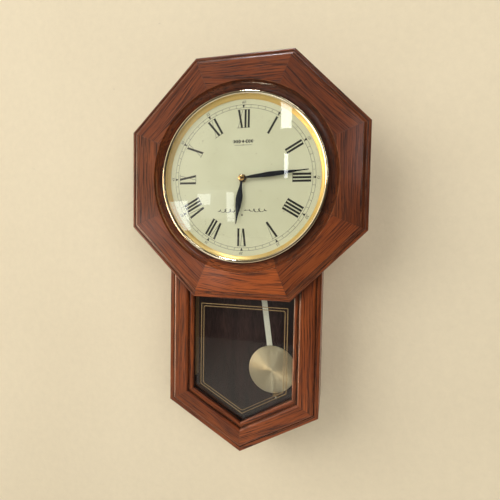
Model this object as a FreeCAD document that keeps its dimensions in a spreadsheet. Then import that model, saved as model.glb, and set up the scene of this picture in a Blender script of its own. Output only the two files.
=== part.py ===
import FreeCAD, Part
import math
import os

import Sketcher

# Schoolhouse wall clock: octagonal oak head, round dial, drop box with a glazed window and a
# pendulum, battery movement behind the dial.
#
# World frame: +Z up, +X to the right of someone facing the clock, the front faces -Y and the wall
# is the plane Y = 0. The origin is the centre of the hanger's keyhole.
# Every sub-part is drawn in a frame of its own whose Y is the depth behind the octagon's face, so
# a depth of 0 is the face and a depth of face_stand is the wall. X and Z start at the arbor, the
# axis that carries the hands, unless the sub-part has an axis or an edge of its own.

Vector = FreeCAD.Vector
Rotation = FreeCAD.Rotation
AXIS_Y = Vector(0, 1, 0)

DIMENSIONS = [
    # alias, value, what it measures
    ("face_stand", 98, "octagon face to wall"),
    ("arbor_drop", 100, "keyhole down to the arbor"),
    ("octagon_half", 172, "half the octagon across flats"),
    ("octagon_thick", 14, "octagon stock"),
    ("octagon_inner", 98, "half flat of the stock's inner edge"),
    ("face_half", 162, "half flat of the flat face's outer arris"),
    ("edge_cove_drop", 4.5, "depth of the cove outside the face"),
    ("edge_cove_wide", 4.5, "width of that cove"),
    ("edge_groove", 0.8, "groove between cove and bead"),
    ("edge_bead_drop", 6.6, "depth of the outer edge"),
    ("cove_radius", 134, "arris of the dial cove"),
    ("opening_radius", 121.5, "wall of the dial opening"),
    ("cove_drop", 9, "depth of the cove's lower edge"),
    ("ledge_radius", 108, "inner edge of the dial ledge"),
    ("ledge_drop", 10, "depth of the dial ledge"),
    ("drop_half", 114, "half the drop box's width"),
    ("drop_corner", 338.4, "arbor down to the drop's side corners"),
    ("drop_slope", 30, "slope of the drop's lower edges, degrees"),
    ("case_top", 124, "arbor up to the top of the case"),
    ("stock_wide", 38, "width of the drop's frame stock"),
    ("band_drop", 17.5, "depth of the stock's outer band"),
    ("band_wide", 6, "width of the outer band"),
    ("field_start", 11.5, "outer edge of the stock's raised field"),
    ("field_end", 27, "inner edge of the raised field"),
    ("bead_start", 32, "outer edge of the stock's inner bead"),
    ("bead_drop", 19, "depth of the stock's inner edge"),
    ("frame_back", 28, "depth of the stock's back"),
    ("rabbet_drop", 24, "depth of the glass rabbet"),
    ("rabbet_wide", 5, "width of the glass rabbet"),
    ("glass_high", 164, "arbor down to the window glass's upper edge"),
    ("board", 9, "case board"),
    ("glass_thick", 2.6, "window glass"),
    ("glass_gap", 0.3, "play round the window glass"),
    ("gasket_wide", 4, "glazing gasket"),
    ("back_front", 88, "depth of the back board's inner face"),
    ("back_rear", 92, "depth of the back board's outer face"),
    ("back_top", 75.7, "arbor up to the back board's edge"),
    ("access_half", 60, "half width of the back board's opening"),
    ("access_top", 45, "arbor up to that opening's edge"),
    ("access_low", 70, "arbor down to that opening's edge"),
    ("access_round", 10, "corner radius of that opening"),
    ("cleat_wide", 10, "side cleat, both ways"),
    ("cleat_low", 322, "arbor down to the side cleats' ends"),
    ("speaker_drop", 108, "arbor down to the speaker"),
    ("speaker_radius", 28, "speaker"),
    ("speaker_deep", 18, "speaker, front to rear"),
    ("speaker_magnet", 10, "board to the speaker's magnet"),
    ("speaker_rim", 1.5, "speaker's flange"),
    ("cone_deep", 7, "depth of the speaker's cone"),
    ("cone_radius", 9, "foot of the speaker's cone"),
    ("hang_cleat_front", 84.5, "depth of the hanging cleat's front"),
    ("hang_cleat_rear", 96.5, "depth of the hanging cleat's rear"),
    ("hang_cleat_low", 76, "arbor up to the hanging cleat's lower edge"),
    ("keyhole_radius", 5, "entry hole of the keyhole"),
    ("keyhole_slot", 2.3, "half width of the keyhole's slot"),
    ("keyhole_rise", 8, "entry hole up to the slot's end"),
    ("keyhole_room", 8, "room for the wall screw's head, radius"),
    ("hanger_half", 28, "half the hanger plate's length"),
    ("hanger_low", 12, "keyhole down to the plate's edge"),
    ("hanger_high", 14, "keyhole up to the plate's edge"),
    ("screw_head", 3.2, "wood screw head radius"),
    ("screw_sink", 1.8, "wood screw head height"),
    ("screw_shank", 1.6, "wood screw shank radius"),
    ("screw_long", 11, "wood screw length"),
    ("bezel_radius", 120, "bezel outside"),
    ("bezel_bore", 117, "bezel inside"),
    ("bezel_lip", 115.4, "lip over the crystal"),
    ("crystal_radius", 116.5, "crystal's rim"),
    ("crystal_rise", 14, "height of the crystal's crown over its rim"),
    ("crystal_rim", 2, "depth of the crystal's rim"),
    ("crystal_thick", 2, "crystal"),
    ("reflector_bore", 110.5, "inside of the sloped ring"),
    ("reflector_rim", 4.4, "depth of the sloped ring's front"),
    ("dial_front", 9, "depth of the dial's face"),
    ("dial_radius", 116.5, "dial plate"),
    ("dial_hole", 4.1, "dial's centre hole"),
    ("dial_screw_circle", 118.5, "circle of the bezel screws"),
    ("dial_screw_turn", 15, "bezel screws from the middle of their rails, degrees"),
    ("dial_screw_radius", 0.9, "bezel screw shank"),
    ("dial_screw_head", 2.4, "bezel screw head radius"),
    ("dial_screw_tip", 5, "depth of the bezel screws' tips"),
    ("case_half", 38, "half the movement's width"),
    ("case_high", 28, "arbor up to the movement's top"),
    ("case_low", 54, "arbor down to the movement's bottom"),
    ("case_wall", 2, "movement's wall"),
    ("case_front", 10, "depth of the movement's front"),
    ("case_split", 22, "depth of the joint between its shells"),
    ("case_rear", 34, "depth of the movement's rear"),
    ("plate_front", 17.4, "depth of the wheel plate's front"),
    ("plate_rear", 18.6, "depth of the wheel plate's rear"),
    ("post_radius", 2.5, "posts that carry the wheel plate"),
    ("post_side", 32, "posts left and right of the arbor"),
    ("post_high", 22, "upper posts"),
    ("post_low", 12, "lower posts"),
    ("bush_radius", 4, "centre bush"),
    ("bush_front", 6, "depth of the centre bush's end"),
    ("nut_half", 5.5, "centre nut, half across flats"),
    ("nut_thick", 2, "centre nut"),
    ("hour_pipe", 2.6, "hour pipe outside"),
    ("hour_pipe_front", 3.6, "depth of the hour pipe's end"),
    ("minute_pipe", 1.6, "minute arbor"),
    ("minute_pipe_front", -0.2, "depth of the minute arbor's end"),
    ("running_gap", 0.05, "radial play of a turning fit"),
    ("pivot_radius", 0.4, "pivots of the small wheels"),
    ("big_pivot", 0.75, "pivots of the larger arbors"),
    ("motion_module", 0.5, "module of cannon pinion and minute wheel"),
    ("hour_module", 0.4, "module of minute pinion and hour wheel"),
    ("motion_reach", 12, "arbor to minute wheel, and minute wheel to set knob"),
    ("rotor_module", 0.2, "module of rotor pinion and fifth wheel"),
    ("fifth_module", 0.26, "module of fifth pinion and seconds wheel"),
    ("train_module", 0.22, "module of the wheels after that"),
    ("rotor_radius", 2.6, "rotor magnet"),
    ("knob_radius", 6, "set knob"),
    ("knob_front", 35, "depth of the set knob's front"),
    ("knob_rear", 41, "depth of the set knob's rear"),
    ("bar_left", 3, "stator's left edge"),
    ("bar_right", 28, "stator's right edge"),
    ("stator_front", 28.6, "depth of the stator's front"),
    ("stator_thick", 0.8, "stator"),
    ("coil_drop", 13, "arbor down to the motor coil"),
    ("coil_radius", 2.8, "motor coil"),
    ("circuit_left", -4, "circuit board's left edge"),
    ("circuit_right", 34, "circuit board's right edge"),
    ("circuit_high", 18, "arbor down to the circuit board's upper edge"),
    ("circuit_low", 31, "arbor down to the circuit board's lower edge"),
    ("circuit_front", 25, "depth of the circuit board's front"),
    ("circuit_thick", 1.2, "circuit board"),
    ("cell_radius", 7.25, "battery cell"),
    ("cell_half", 25.25, "half the battery cell's length"),
    ("cell_drop", 44, "arbor down to the battery cell"),
    ("cell_depth", 24, "depth of the battery cell's axis"),
    ("bay_half", 27, "half the battery opening's width"),
    ("bay_high", 36, "arbor down to the battery opening's top"),
    ("bay_low", 52, "arbor down to the battery opening's bottom"),
    ("cover_half", 30, "half the battery cover's width"),
    ("cover_thick", 1.5, "battery cover"),
    ("pivot_rise", 10, "arbor up to the pendulum's pivot"),
    ("swing_rest", 8, "pendulum's angle as stored, degrees"),
    ("hang_pin", 1.5, "pendulum's pivot pin"),
    ("pin_head", 2.6, "pivot pin's head, radius"),
    ("pin_head_front", 52.3, "depth of that head's front"),
    ("pin_end", 53.5, "depth of the pivot pin's end"),
    ("carrier_front", 42, "depth of the carrier's front"),
    ("carrier_rear", 45, "depth of the carrier arm's rear"),
    ("carrier_hub", 52, "depth of the carrier hub's rear"),
    ("hub_radius", 4, "carrier's hub and magnet, and the bracket's boss"),
    ("magnet_reach", 32, "pivot to drive magnet"),
    ("magnet_thick", 3.2, "drive magnet"),
    ("coil_outer", 7, "drive coil, radius"),
    ("coil_inner", 2.5, "drive coil's opening, radius"),
    ("coil_thick", 3.4, "drive coil"),
    ("hook_reach", 42, "pivot to the rod's hook"),
    ("rod_depth", 50.8, "depth of the rod's middle plane"),
    ("rod_thick", 1, "pendulum rod"),
    ("rod_half", 4.25, "half the rod's width"),
    ("rod_top", 37, "pivot to the rod's upper end"),
    ("rod_end", 320, "pivot to the flat rod's lower end"),
    ("stud_end", 346, "pivot to the stud's lower end"),
    ("stud_radius", 1, "threaded stud"),
    ("bob_reach", 299.5, "pivot to the bob's centre"),
    ("bob_radius", 37, "pendulum bob"),
    ("bob_split", 49.5, "depth of the joint between the bob's halves"),
    ("bob_crown", 4.5, "rise of the bob's face"),
    ("bob_back", 4, "bob's backing"),
    ("nut_reach", 337, "pivot to the rating nut's top"),
    ("rating_radius", 4.5, "rating nut"),
    ("rating_high", 4, "rating nut"),
    ("hand_thick", 0.5, "hands"),
    ("hour_long", 65, "hour hand, axis to tip"),
    ("hour_belly", 4.9, "hour hand, half its greatest width"),
    ("hour_front", 4.4, "depth of the hour hand"),
    ("hour_turn", 187, "hour hand from twelve, degrees"),
    ("minute_long", 93.8, "minute hand, axis to tip"),
    ("minute_belly", 3.4, "minute hand, half its greatest width"),
    ("minute_front", 2, "depth of the minute hand"),
    ("minute_turn", 84, "minute hand from twelve, degrees"),
    ("cap_radius", 4.4, "hand nut"),
]

# Train of wheels, as teeth.
CANNON_TEETH = 12
MINUTE_WHEEL_TEETH = 36
MINUTE_PINION_TEETH = 12
HOUR_WHEEL_TEETH = 48
SMALL_PINION_TEETH = 10
FIFTH_WHEEL_TEETH = 60
SECONDS_WHEEL_TEETH = 50
THIRD_WHEEL_TEETH = 75
CENTRE_WHEEL_TEETH = 80

# Directions from one axis to the next, in degrees anticlockwise from +X as seen from the front.
TO_MINUTE_WHEEL = 210
TO_SET_KNOB = 200
TO_THIRD_WHEEL = 90
TO_SECONDS_WHEEL = 20
TO_FIFTH_WHEEL = -30
TO_ROTOR = -90

# Front and rear of each wheel, as depths.
CANNON_LAYER = (15, 16.6)
MINUTE_WHEEL_LAYER = (15.2, 16.2)
MINUTE_PINION_LAYER = (12.8, 15.3)
HOUR_WHEEL_LAYER = (13, 14)
HOUR_PIPE_REAR = 14.4
MINUTE_POST_FRONT = 11
MINUTE_POST_SEAT = 10.8
ARBOR_SHOULDER = 21.6
ROTOR_LAYER = (28, 30)
ROTOR_PINION_FRONT = 25.6
TRAIN_LAYERS = {"centre": 20, "third": 22, "seconds": 24, "fifth": 26}
TRAIN_WHEEL_THICK = 0.8
TRAIN_OVERLAP = 0.4
PIVOT_PLAY = 0.03

PRESSURE_ANGLE = math.radians(25)
ADDENDUM = 0.8
DEDENDUM = 1.05
TOOTH_SHARE = 0.46

KNOB_NOTCHES = 24
KNOB_NOTCH_RADIUS = 0.45

BOARD_SCREW_HEIGHTS = (65, -60, -185, -305)
BOARD_SCREW_SIDE = 100
HANGER_SCREW_SIDE = 22

doc = FreeCAD.newDocument("schoolhouse_clock")
sheet = doc.addObject("Spreadsheet::Sheet", "dims")
subparts = []


def fill_sheet():
    for row, (alias, value, note) in enumerate(DIMENSIONS, start=1):
        sheet.set(f"A{row}", alias)
        sheet.set(f"B{row}", str(value))
        sheet.set(f"C{row}", note)
        sheet.setAlias(f"B{row}", alias)
    doc.recompute()


def size(expression):
    """Value of an expression in the sheet's aliases."""
    return float(sheet.evalExpression(str(expression)))


# ---------------------------------------------------------------- sketches

def new_sketch(body, role, offset="0"):
    """Sketch on one of the body's origin planes, moved along the plane's normal by offset."""
    plane = [item for item in body.Origin.OriginFeatures if item.Role == role][0]
    sketch = body.newObject("Sketcher::SketchObject", "sketch")
    sketch.AttachmentSupport = [(plane, "")]
    sketch.MapMode = "FlatFace"
    sketch.setExpression("AttachmentOffset.Base.z", offset)
    return sketch


def bind(sketch, kind, *target, to):
    """Add a dimension to the sketch and bind it to an expression."""
    index = sketch.addConstraint(Sketcher.Constraint(kind, *target, size(to)))
    sketch.setExpression(f"Constraints[{index}]", str(to))


def arc_edge(start, end, radius):
    """Arc from start to end. A positive radius puts its centre to the left of the way."""
    chord = end - start
    middle = (start + end) * 0.5
    left = Vector(-chord.y, chord.x, 0).normalize()
    reach = math.sqrt(max(0, radius ** 2 - (chord.Length / 2) ** 2))
    centre = middle + left * math.copysign(reach, radius)
    angles = [math.atan2(point.y - centre.y, point.x - centre.x) for point in (start, end)]
    if radius < 0:
        angles.reverse()
    return Part.ArcOfCircle(Part.Circle(centre, Vector(0, 0, 1), abs(radius)), *angles)


def outline(*corners):
    """Closed outline. A corner is (x, y), or (x, y, radius) where an arc leaves it."""
    def draw(sketch):
        points = [Vector(size(corner[0]), size(corner[1]), 0) for corner in corners]
        starts = []
        ends = []
        for index, corner in enumerate(corners):
            start = points[index]
            end = points[(index + 1) % len(points)]
            if len(corner) == 2:
                edge = sketch.addGeometry(Part.LineSegment(start, end))
            else:
                edge = sketch.addGeometry(arc_edge(start, end, size(corner[2])))
                bind(sketch, "Radius", edge, to=f"abs({corner[2]})")
            backwards = len(corner) == 3 and size(corner[2]) < 0
            starts.append((edge, 2 if backwards else 1))
            ends.append((edge, 1 if backwards else 2))
        for index, corner in enumerate(corners):
            sketch.addConstraint(Sketcher.Constraint("Coincident", *ends[index - 1], *starts[index]))
            bind(sketch, "DistanceX", -1, 1, *starts[index], to=corner[0])
            bind(sketch, "DistanceY", -1, 1, *starts[index], to=corner[1])
    return draw


def box(left, low, right, high):
    return outline((left, low), (right, low), (right, high), (left, high))


def circle(x, y, radius):
    def draw(sketch):
        middle = Vector(size(x), size(y), 0)
        edge = sketch.addGeometry(Part.Circle(middle, Vector(0, 0, 1), size(radius)))
        bind(sketch, "Radius", edge, to=radius)
        bind(sketch, "DistanceX", -1, 1, edge, 3, to=x)
        bind(sketch, "DistanceY", -1, 1, edge, 3, to=y)
    return draw


def upright_slot(low, high, half):
    """Slot on the sketch's Y axis with half-round ends about low and high."""
    def draw(sketch):
        wide = size(half)
        sides = [Vector(wide, size(low), 0), Vector(wide, size(high), 0),
                 Vector(-wide, size(high), 0), Vector(-wide, size(low), 0)]
        right = sketch.addGeometry(Part.LineSegment(sides[0], sides[1]))
        upper = sketch.addGeometry(arc_edge(sides[1], sides[2], wide))
        left = sketch.addGeometry(Part.LineSegment(sides[2], sides[3]))
        lower = sketch.addGeometry(arc_edge(sides[3], sides[0], wide))
        loop = (right, upper, left, lower)
        for index, edge in enumerate(loop):
            sketch.addConstraint(Sketcher.Constraint("Coincident", loop[index - 1], 2, edge, 1))
        for edge, x, y in ((right, half, low), (upper, half, high), (left, f"-{half}", high),
                           (lower, f"-{half}", low)):
            bind(sketch, "DistanceX", -1, 1, edge, 1, to=x)
            bind(sketch, "DistanceY", -1, 1, edge, 1, to=y)
        bind(sketch, "DistanceY", -1, 1, upper, 3, to=high)
        bind(sketch, "DistanceY", -1, 1, lower, 3, to=low)
    return draw


def mirrored(*half):
    """Outline that is symmetrical about the sketch's Y, from its right half, bottom to top.

    The first and last corners of the half may lie on the axis.
    """
    corners = list(half)
    for index in range(len(half) - 1, -1, -1):
        corner = half[index]
        if corner[0] == "0":
            continue
        arc = half[index - 1][2:] if index > 0 else ()
        corners.append((f"-({corner[0]})", corner[1]) + tuple(arc))
    return outline(*corners)


# ---------------------------------------------------------------- bodies

def new_body(label):
    body = doc.addObject("PartDesign::Body", label)
    body.Label = label
    return body


def keep(item, x="0", z="0", turn="0"):
    """Put a sub-part in its place in the clock and list it for export.

    x and z are measured from the arbor, and turn is clockwise as seen from the front.
    """
    item.Placement = FreeCAD.Placement(Vector(), Rotation(AXIS_Y, size(turn)))
    item.setExpression("Placement.Base.x", x)
    item.setExpression("Placement.Base.y", "-dims.face_stand")
    item.setExpression("Placement.Base.z", f"{z} - dims.arbor_drop")
    subparts.append(item)
    return item


def add_plate(body, shapes, front, back):
    """Solid between two depths with a front view made of the shapes."""
    sketch = new_sketch(body, "XZ_Plane", f"-({back})")
    for shape in shapes:
        shape(sketch)
    feature = body.newObject("PartDesign::Pad", "plate")
    feature.Profile = sketch
    feature.setExpression("Length", f"{back} - ({front})")
    doc.recompute()
    return feature


def cut_plate(body, shapes, front, back):
    """Cut between two depths with a front view made of the shapes."""
    sketch = new_sketch(body, "XZ_Plane", f"-({front})")
    for shape in shapes:
        shape(sketch)
    before = body.Shape.Volume
    feature = body.newObject("PartDesign::Pocket", "cut")
    feature.Profile = sketch
    feature.setExpression("Length", f"{back} - ({front})")
    doc.recompute()
    if not body.Shape.Volume < before:
        raise RuntimeError(f"a cut in {body.Label} removes nothing")
    return feature


def spin(body, kind, shape):
    """Turn a section about the body's Y. Its X is the radius and its Y the depth."""
    sketch = new_sketch(body, "XY_Plane")
    shape(sketch)
    feature = body.newObject(f"PartDesign::{kind}", "turned")
    feature.Profile = sketch
    feature.ReferenceAxis = (sketch, ["V_Axis"])
    feature.Angle = 360
    doc.recompute()
    return feature


def plate(label, shapes, front, back):
    body = new_body(label)
    add_plate(body, shapes, front, back)
    return body


def turned(label, shape):
    body = new_body(label)
    spin(body, "Revolution", shape)
    return body


def cut_by(label, blank, tool):
    """The blank with holes of exactly the tool's shape."""
    cut = doc.addObject("Part::Cut", label)
    cut.Label = label
    cut.Base = blank
    cut.Tool = tool
    subparts.append(cut)
    return cut


# ---------------------------------------------------------------- octagonal head

def octagon_rail(number):
    """One mitred rail, drawn as the top one and turned into place."""
    rail = new_body(f"octagon_rail_{number}")
    half = "dims.octagon_half"
    inner = "dims.octagon_inner"
    blank = mirrored((f"{inner} * tan(22.5)", inner), (f"{half} * tan(22.5)", half))
    add_plate(rail, [blank], "0", "dims.octagon_thick")

    edge = new_sketch(rail, "YZ_Plane")
    cove_end = "dims.face_half + dims.edge_cove_wide"
    bead_start = f"{cove_end} + dims.edge_groove"
    outline(
        ("-1", "dims.face_half"),
        ("0", "dims.face_half", "dims.edge_cove_wide * 1.02"),
        ("dims.edge_cove_drop", cove_end),
        ("dims.edge_cove_drop + dims.edge_groove", cove_end),
        ("dims.edge_cove_drop + dims.edge_groove", bead_start, "-3"),
        ("dims.edge_bead_drop", half),
        ("dims.edge_bead_drop", f"{half} + 1"),
        ("-1", f"{half} + 1"),
    )(edge)
    moulding = rail.newObject("PartDesign::Pocket", "edge_moulding")
    moulding.Profile = edge
    moulding.SideType = "Symmetric"
    moulding.setExpression("Length", f"2 * {half}")
    doc.recompute()

    spin(rail, "Groove", outline(
        ("dims.octagon_inner - 2", "-1"),
        ("dims.cove_radius", "-1"),
        ("dims.cove_radius", "0", "13"),
        ("dims.opening_radius", "dims.cove_drop"),
        ("dims.opening_radius", "dims.ledge_drop"),
        ("dims.ledge_radius", "dims.ledge_drop"),
        ("dims.ledge_radius", "dims.octagon_thick + 1"),
        ("dims.octagon_inner - 2", "dims.octagon_thick + 1"),
    ))
    if number % 2 == 0:
        side = "1" if number in (4, 8) else "-1"
        x = f"{side} * dims.dial_screw_circle * sin(dims.dial_screw_turn)"
        z = "dims.dial_screw_circle * cos(dims.dial_screw_turn)"
        cut_plate(rail, [circle(x, z, "dims.dial_screw_radius")], "dims.ledge_drop",
                  "dims.octagon_thick")
    keep(rail, turn=f"{45 * (number - 1)}")


# ---------------------------------------------------------------- drop box

def drop_outline(inset, top):
    """Five-cornered outline of the drop, set in from its outer edge all round but the top.

    The slope of 30 degrees makes all three lower corners 120 degrees, so that every mitre and
    every inset corner runs by the slope's tangent.
    """
    half = f"dims.drop_half - ({inset})"
    corner = f"-dims.drop_corner + ({inset}) * tan(dims.drop_slope)"
    tip = f"-dims.drop_corner - dims.drop_half * tan(dims.drop_slope) + ({inset}) / cos(dims.drop_slope)"
    return outline(
        ("0", tip), (half, corner), (half, top), (f"-({half})", top), (f"-({half})", corner))


def frame_member(label, length, mitred_start=False, mitred_end=False, x="0", z="0", turn="0"):
    """Length of moulded stock: outer edge along X, window side towards +Z."""
    member = new_body(label)
    section = new_sketch(member, "YZ_Plane")
    outline(
        ("dims.frame_back", "0"),
        ("dims.band_drop + 0.8", "0", "-0.85"),
        ("dims.band_drop", "0.8"),
        ("dims.band_drop", "dims.band_wide"),
        ("dims.band_drop + 0.9", "dims.band_wide + 0.3"),
        ("dims.band_drop + 0.9", "dims.band_wide + 0.8"),
        ("dims.band_drop + 0.3", "dims.band_wide + 0.8", "-4.8"),
        ("dims.octagon_thick", "dims.field_start"),
        ("dims.octagon_thick", "dims.field_end", "-4"),
        ("dims.band_drop + 0.2", "dims.bead_start - 1.5"),
        ("dims.band_drop + 1.2", "dims.bead_start - 1.5"),
        ("dims.band_drop + 1.2", "dims.bead_start"),
        ("dims.band_drop + 0.4", "dims.bead_start", "-5"),
        ("dims.bead_drop", "dims.stock_wide"),
        ("dims.rabbet_drop", "dims.stock_wide"),
        ("dims.rabbet_drop", "dims.stock_wide - dims.rabbet_wide"),
        ("dims.frame_back", "dims.stock_wide - dims.rabbet_wide"),
    )(section)
    stock = member.newObject("PartDesign::Pad", "stock")
    stock.Profile = section
    stock.setExpression("Length", length)
    doc.recompute()

    over = "dims.stock_wide * 1.1"
    shift = f"{over} * tan(dims.drop_slope)"
    mitres = []
    if mitred_start:
        mitres.append(outline(("0", "0"), (shift, over), ("-1", over), ("-1", "0")))
    if mitred_end:
        mitres.append(outline(
            (length, "0"), (f"{length} + 1", "0"), (f"{length} + 1", over),
            (f"{length} - {shift}", over)))
    if mitres:
        cut_plate(member, mitres, "0", "dims.frame_back + 1")
    keep(member, x, z, turn)


def drop_frame():
    stile = "(dims.case_top + dims.drop_corner)"
    rail = "(dims.drop_half / cos(dims.drop_slope))"
    tip = "-dims.drop_corner - dims.drop_half * tan(dims.drop_slope)"
    frame_member("drop_stile_left", stile, mitred_end=True,
                 x="-dims.drop_half", z="dims.case_top", turn="90")
    frame_member("drop_stile_right", stile, mitred_start=True,
                 x="dims.drop_half", z="-dims.drop_corner", turn="-90")
    frame_member("drop_rail_left", rail, mitred_start=True, mitred_end=True,
                 x="-dims.drop_half", z="-dims.drop_corner", turn="dims.drop_slope")
    frame_member("drop_rail_right", rail, mitred_start=True, mitred_end=True,
                 x="0", z=tip, turn="-dims.drop_slope")


def case_boards():
    inner = "dims.drop_half - dims.board"
    low = "-dims.drop_corner"
    inner_low = "-dims.drop_corner + dims.board * tan(dims.drop_slope)"
    tip = f"{low} - dims.drop_half * tan(dims.drop_slope)"
    inner_tip = f"{tip} + dims.board / cos(dims.drop_slope)"
    for name, side in (("left", "-1"), ("right", "1")):
        outside = f"{side} * dims.drop_half"
        inside = f"{side} * ({inner})"
        keep(plate(f"case_side_{name}", [outline(
            (inside, inner_low), (outside, low), (outside, "dims.case_top"),
            (inside, "dims.case_top"))], "dims.frame_back", "dims.face_stand"))
        keep(plate(f"case_bottom_{name}", [outline(
            ("0", tip), (outside, low), (inside, inner_low), ("0", inner_tip))],
            "dims.frame_back", "dims.face_stand"))
    top = plate("case_top", [box(f"-({inner})", "dims.case_top - dims.board", inner, "dims.case_top")],
                "dims.frame_back", "dims.face_stand")
    between = "dims.drop_half - dims.stock_wide"
    add_plate(top, [box(f"-({between})", "dims.case_top - dims.board", between, "dims.case_top")],
              "dims.octagon_thick", "dims.frame_back")
    keep(top)


def window():
    reach = "dims.stock_wide - dims.rabbet_wide + dims.glass_gap"
    top = "-dims.glass_high"
    front = "dims.rabbet_drop + 0.2"
    keep(plate("window_glass", [drop_outline(reach, top)], front, f"{front} + dims.glass_thick"))
    keep(plate("glazing_gasket", [
        drop_outline(reach, top),
        drop_outline(f"{reach} + dims.gasket_wide", f"{top} - dims.gasket_wide")],
        f"{front} + dims.glass_thick", "dims.frame_back"))


# ---------------------------------------------------------------- back of the case

def wood_screws():
    """Countersunk cross-head screws, all the same, driven from the wall side."""
    seats = []
    for height in BOARD_SCREW_HEIGHTS:
        for side in (-BOARD_SCREW_SIDE, BOARD_SCREW_SIDE):
            seats.append((side, height, size("dims.back_rear")))
    for side in (-HANGER_SCREW_SIDE, HANGER_SCREW_SIDE):
        seats.append((side, size("dims.arbor_drop"), size("dims.face_stand")))
    pieces = []
    recesses = []
    for x, z, depth in seats:
        turn = Rotation(Vector(1, 0, 0), 90)
        head = doc.addObject("Part::Cone", "screw_head")
        head.setExpression("Radius1", "dims.screw_head")
        head.setExpression("Radius2", "dims.screw_shank")
        head.setExpression("Height", "dims.screw_sink")
        head.Placement = FreeCAD.Placement(Vector(x, depth, z), turn)
        shank = doc.addObject("Part::Cylinder", "screw_shank")
        shank.setExpression("Radius", "dims.screw_shank")
        shank.setExpression("Height", "dims.screw_long - dims.screw_sink")
        shank.Placement = FreeCAD.Placement(
            Vector(x, depth - size("dims.screw_sink"), z), turn)
        pieces += [head, shank]
        for long, tall in ((3.4, 0.7), (0.7, 3.4)):
            slot = doc.addObject("Part::Box", "screw_slot")
            slot.Length = long
            slot.Width = 1
            slot.Height = tall
            slot.Placement.Base = Vector(x - long / 2, depth - 1, z - tall / 2)
            recesses.append(slot)
    solid = doc.addObject("Part::MultiFuse", "screw_blanks")
    solid.Shapes = pieces
    crosses = doc.addObject("Part::MultiFuse", "screw_crosses")
    crosses.Shapes = recesses
    screws = doc.addObject("Part::Cut", "wood_screws")
    screws.Label = "wood_screws"
    screws.Base = solid
    screws.Tool = crosses
    keep(screws)
    holes = doc.addObject("Part::MultiFuse", "screw_holes")
    holes.Shapes = pieces
    place_blank(holes)
    return holes


def place_blank(item):
    """Place a helper shape as a sub-part, without exporting it."""
    keep(item)
    subparts.remove(item)
    return item


def case_back(holes):
    inner = "dims.drop_half - dims.board"
    board = plate("back_board_blank", [
        drop_outline("dims.board + 0.3", "dims.back_top")], "dims.back_front", "dims.back_rear")
    side = "dims.access_half"
    straight = "(dims.access_half - dims.access_round)"
    low = "-dims.access_low"
    high = "dims.access_top"
    bend = "dims.access_round"
    cut_plate(board, [outline(
        (f"-{straight}", low),
        (straight, low, bend),
        (side, f"{low} + {bend}"),
        (side, f"{high} - {bend}", bend),
        (straight, high),
        (f"-{straight}", high, bend),
        (f"-{side}", f"{high} - {bend}"),
        (f"-{side}", f"{low} + {bend}", bend),
    )], "dims.back_front", "dims.back_rear")
    centre = "-dims.speaker_drop"
    grille = [circle("0", centre, "2")]
    for radius, count in ((8, 6), (16, 12)):
        for index in range(count):
            angle = 360 * index / count
            grille.append(circle(f"{radius} * cos({angle})", f"{centre} + {radius} * sin({angle})",
                                 "2"))
    cut_plate(board, grille, "dims.back_front", "dims.back_rear")
    cut_by("back_board", place_blank(board), holes)

    strips = [box(f"{left} * ({inner}) - dims.cleat_wide * {offset}", "-dims.cleat_low",
                  f"{left} * ({inner}) + dims.cleat_wide * (1 - {offset})", "dims.back_top")
              for left, offset in (("-1", "0"), ("1", "1"))]
    cleats = plate("back_cleats_blank", strips, "dims.back_front - dims.cleat_wide",
                   "dims.back_front")
    cut_by("back_cleats", place_blank(cleats), holes)

    keyhole = "dims.arbor_drop"
    room = "dims.keyhole_room"
    hang = plate("hanger_cleat_blank", [box(
        f"-({inner})", "dims.hang_cleat_low", inner, "dims.case_top - dims.board")],
        "dims.hang_cleat_front", "dims.hang_cleat_rear")
    cut_plate(hang, [upright_slot(keyhole, f"{keyhole} + 5", room)],
              "dims.hang_cleat_front", "dims.hang_cleat_rear")
    cut_by("hanger_cleat", place_blank(hang), holes)

    hanger = plate("hanger_plate_blank", [box(
        "-dims.hanger_half", f"{keyhole} - dims.hanger_low",
        "dims.hanger_half", f"{keyhole} + dims.hanger_high")],
        "dims.hang_cleat_rear", "dims.face_stand")
    cut_plate(hanger, [circle("0", keyhole, "dims.keyhole_radius")],
              "dims.hang_cleat_rear", "dims.face_stand")
    cut_plate(hanger, [upright_slot(keyhole, f"{keyhole} + dims.keyhole_rise",
                                    "dims.keyhole_slot")],
              "dims.hang_cleat_rear", "dims.face_stand")
    cut_by("hanger_plate", place_blank(hanger), holes)


def speaker():
    """Chime speaker on the inside of the back board, facing its grille."""
    rear = "dims.back_front"
    keep(turned("speaker", outline(
        ("0", f"{rear} - dims.speaker_deep"),
        ("dims.speaker_radius / 2", f"{rear} - dims.speaker_deep"),
        ("dims.speaker_radius / 2", f"{rear} - dims.speaker_magnet"),
        ("dims.speaker_radius - 4", f"{rear} - dims.speaker_rim"),
        ("dims.speaker_radius", f"{rear} - dims.speaker_rim"),
        ("dims.speaker_radius", rear),
        ("dims.speaker_radius - 5", rear),
        ("dims.cone_radius", f"{rear} - dims.cone_deep"),
        ("0", f"{rear} - dims.cone_deep"),
    )), z="-dims.speaker_drop")


# ---------------------------------------------------------------- dial

def crown_radius():
    """Radius of the crystal's outer sphere, from its rim and its rise."""
    return ("((dims.crystal_radius * dims.crystal_radius"
            " + dims.crystal_rise * dims.crystal_rise) / (2 * dims.crystal_rise))")


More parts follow.
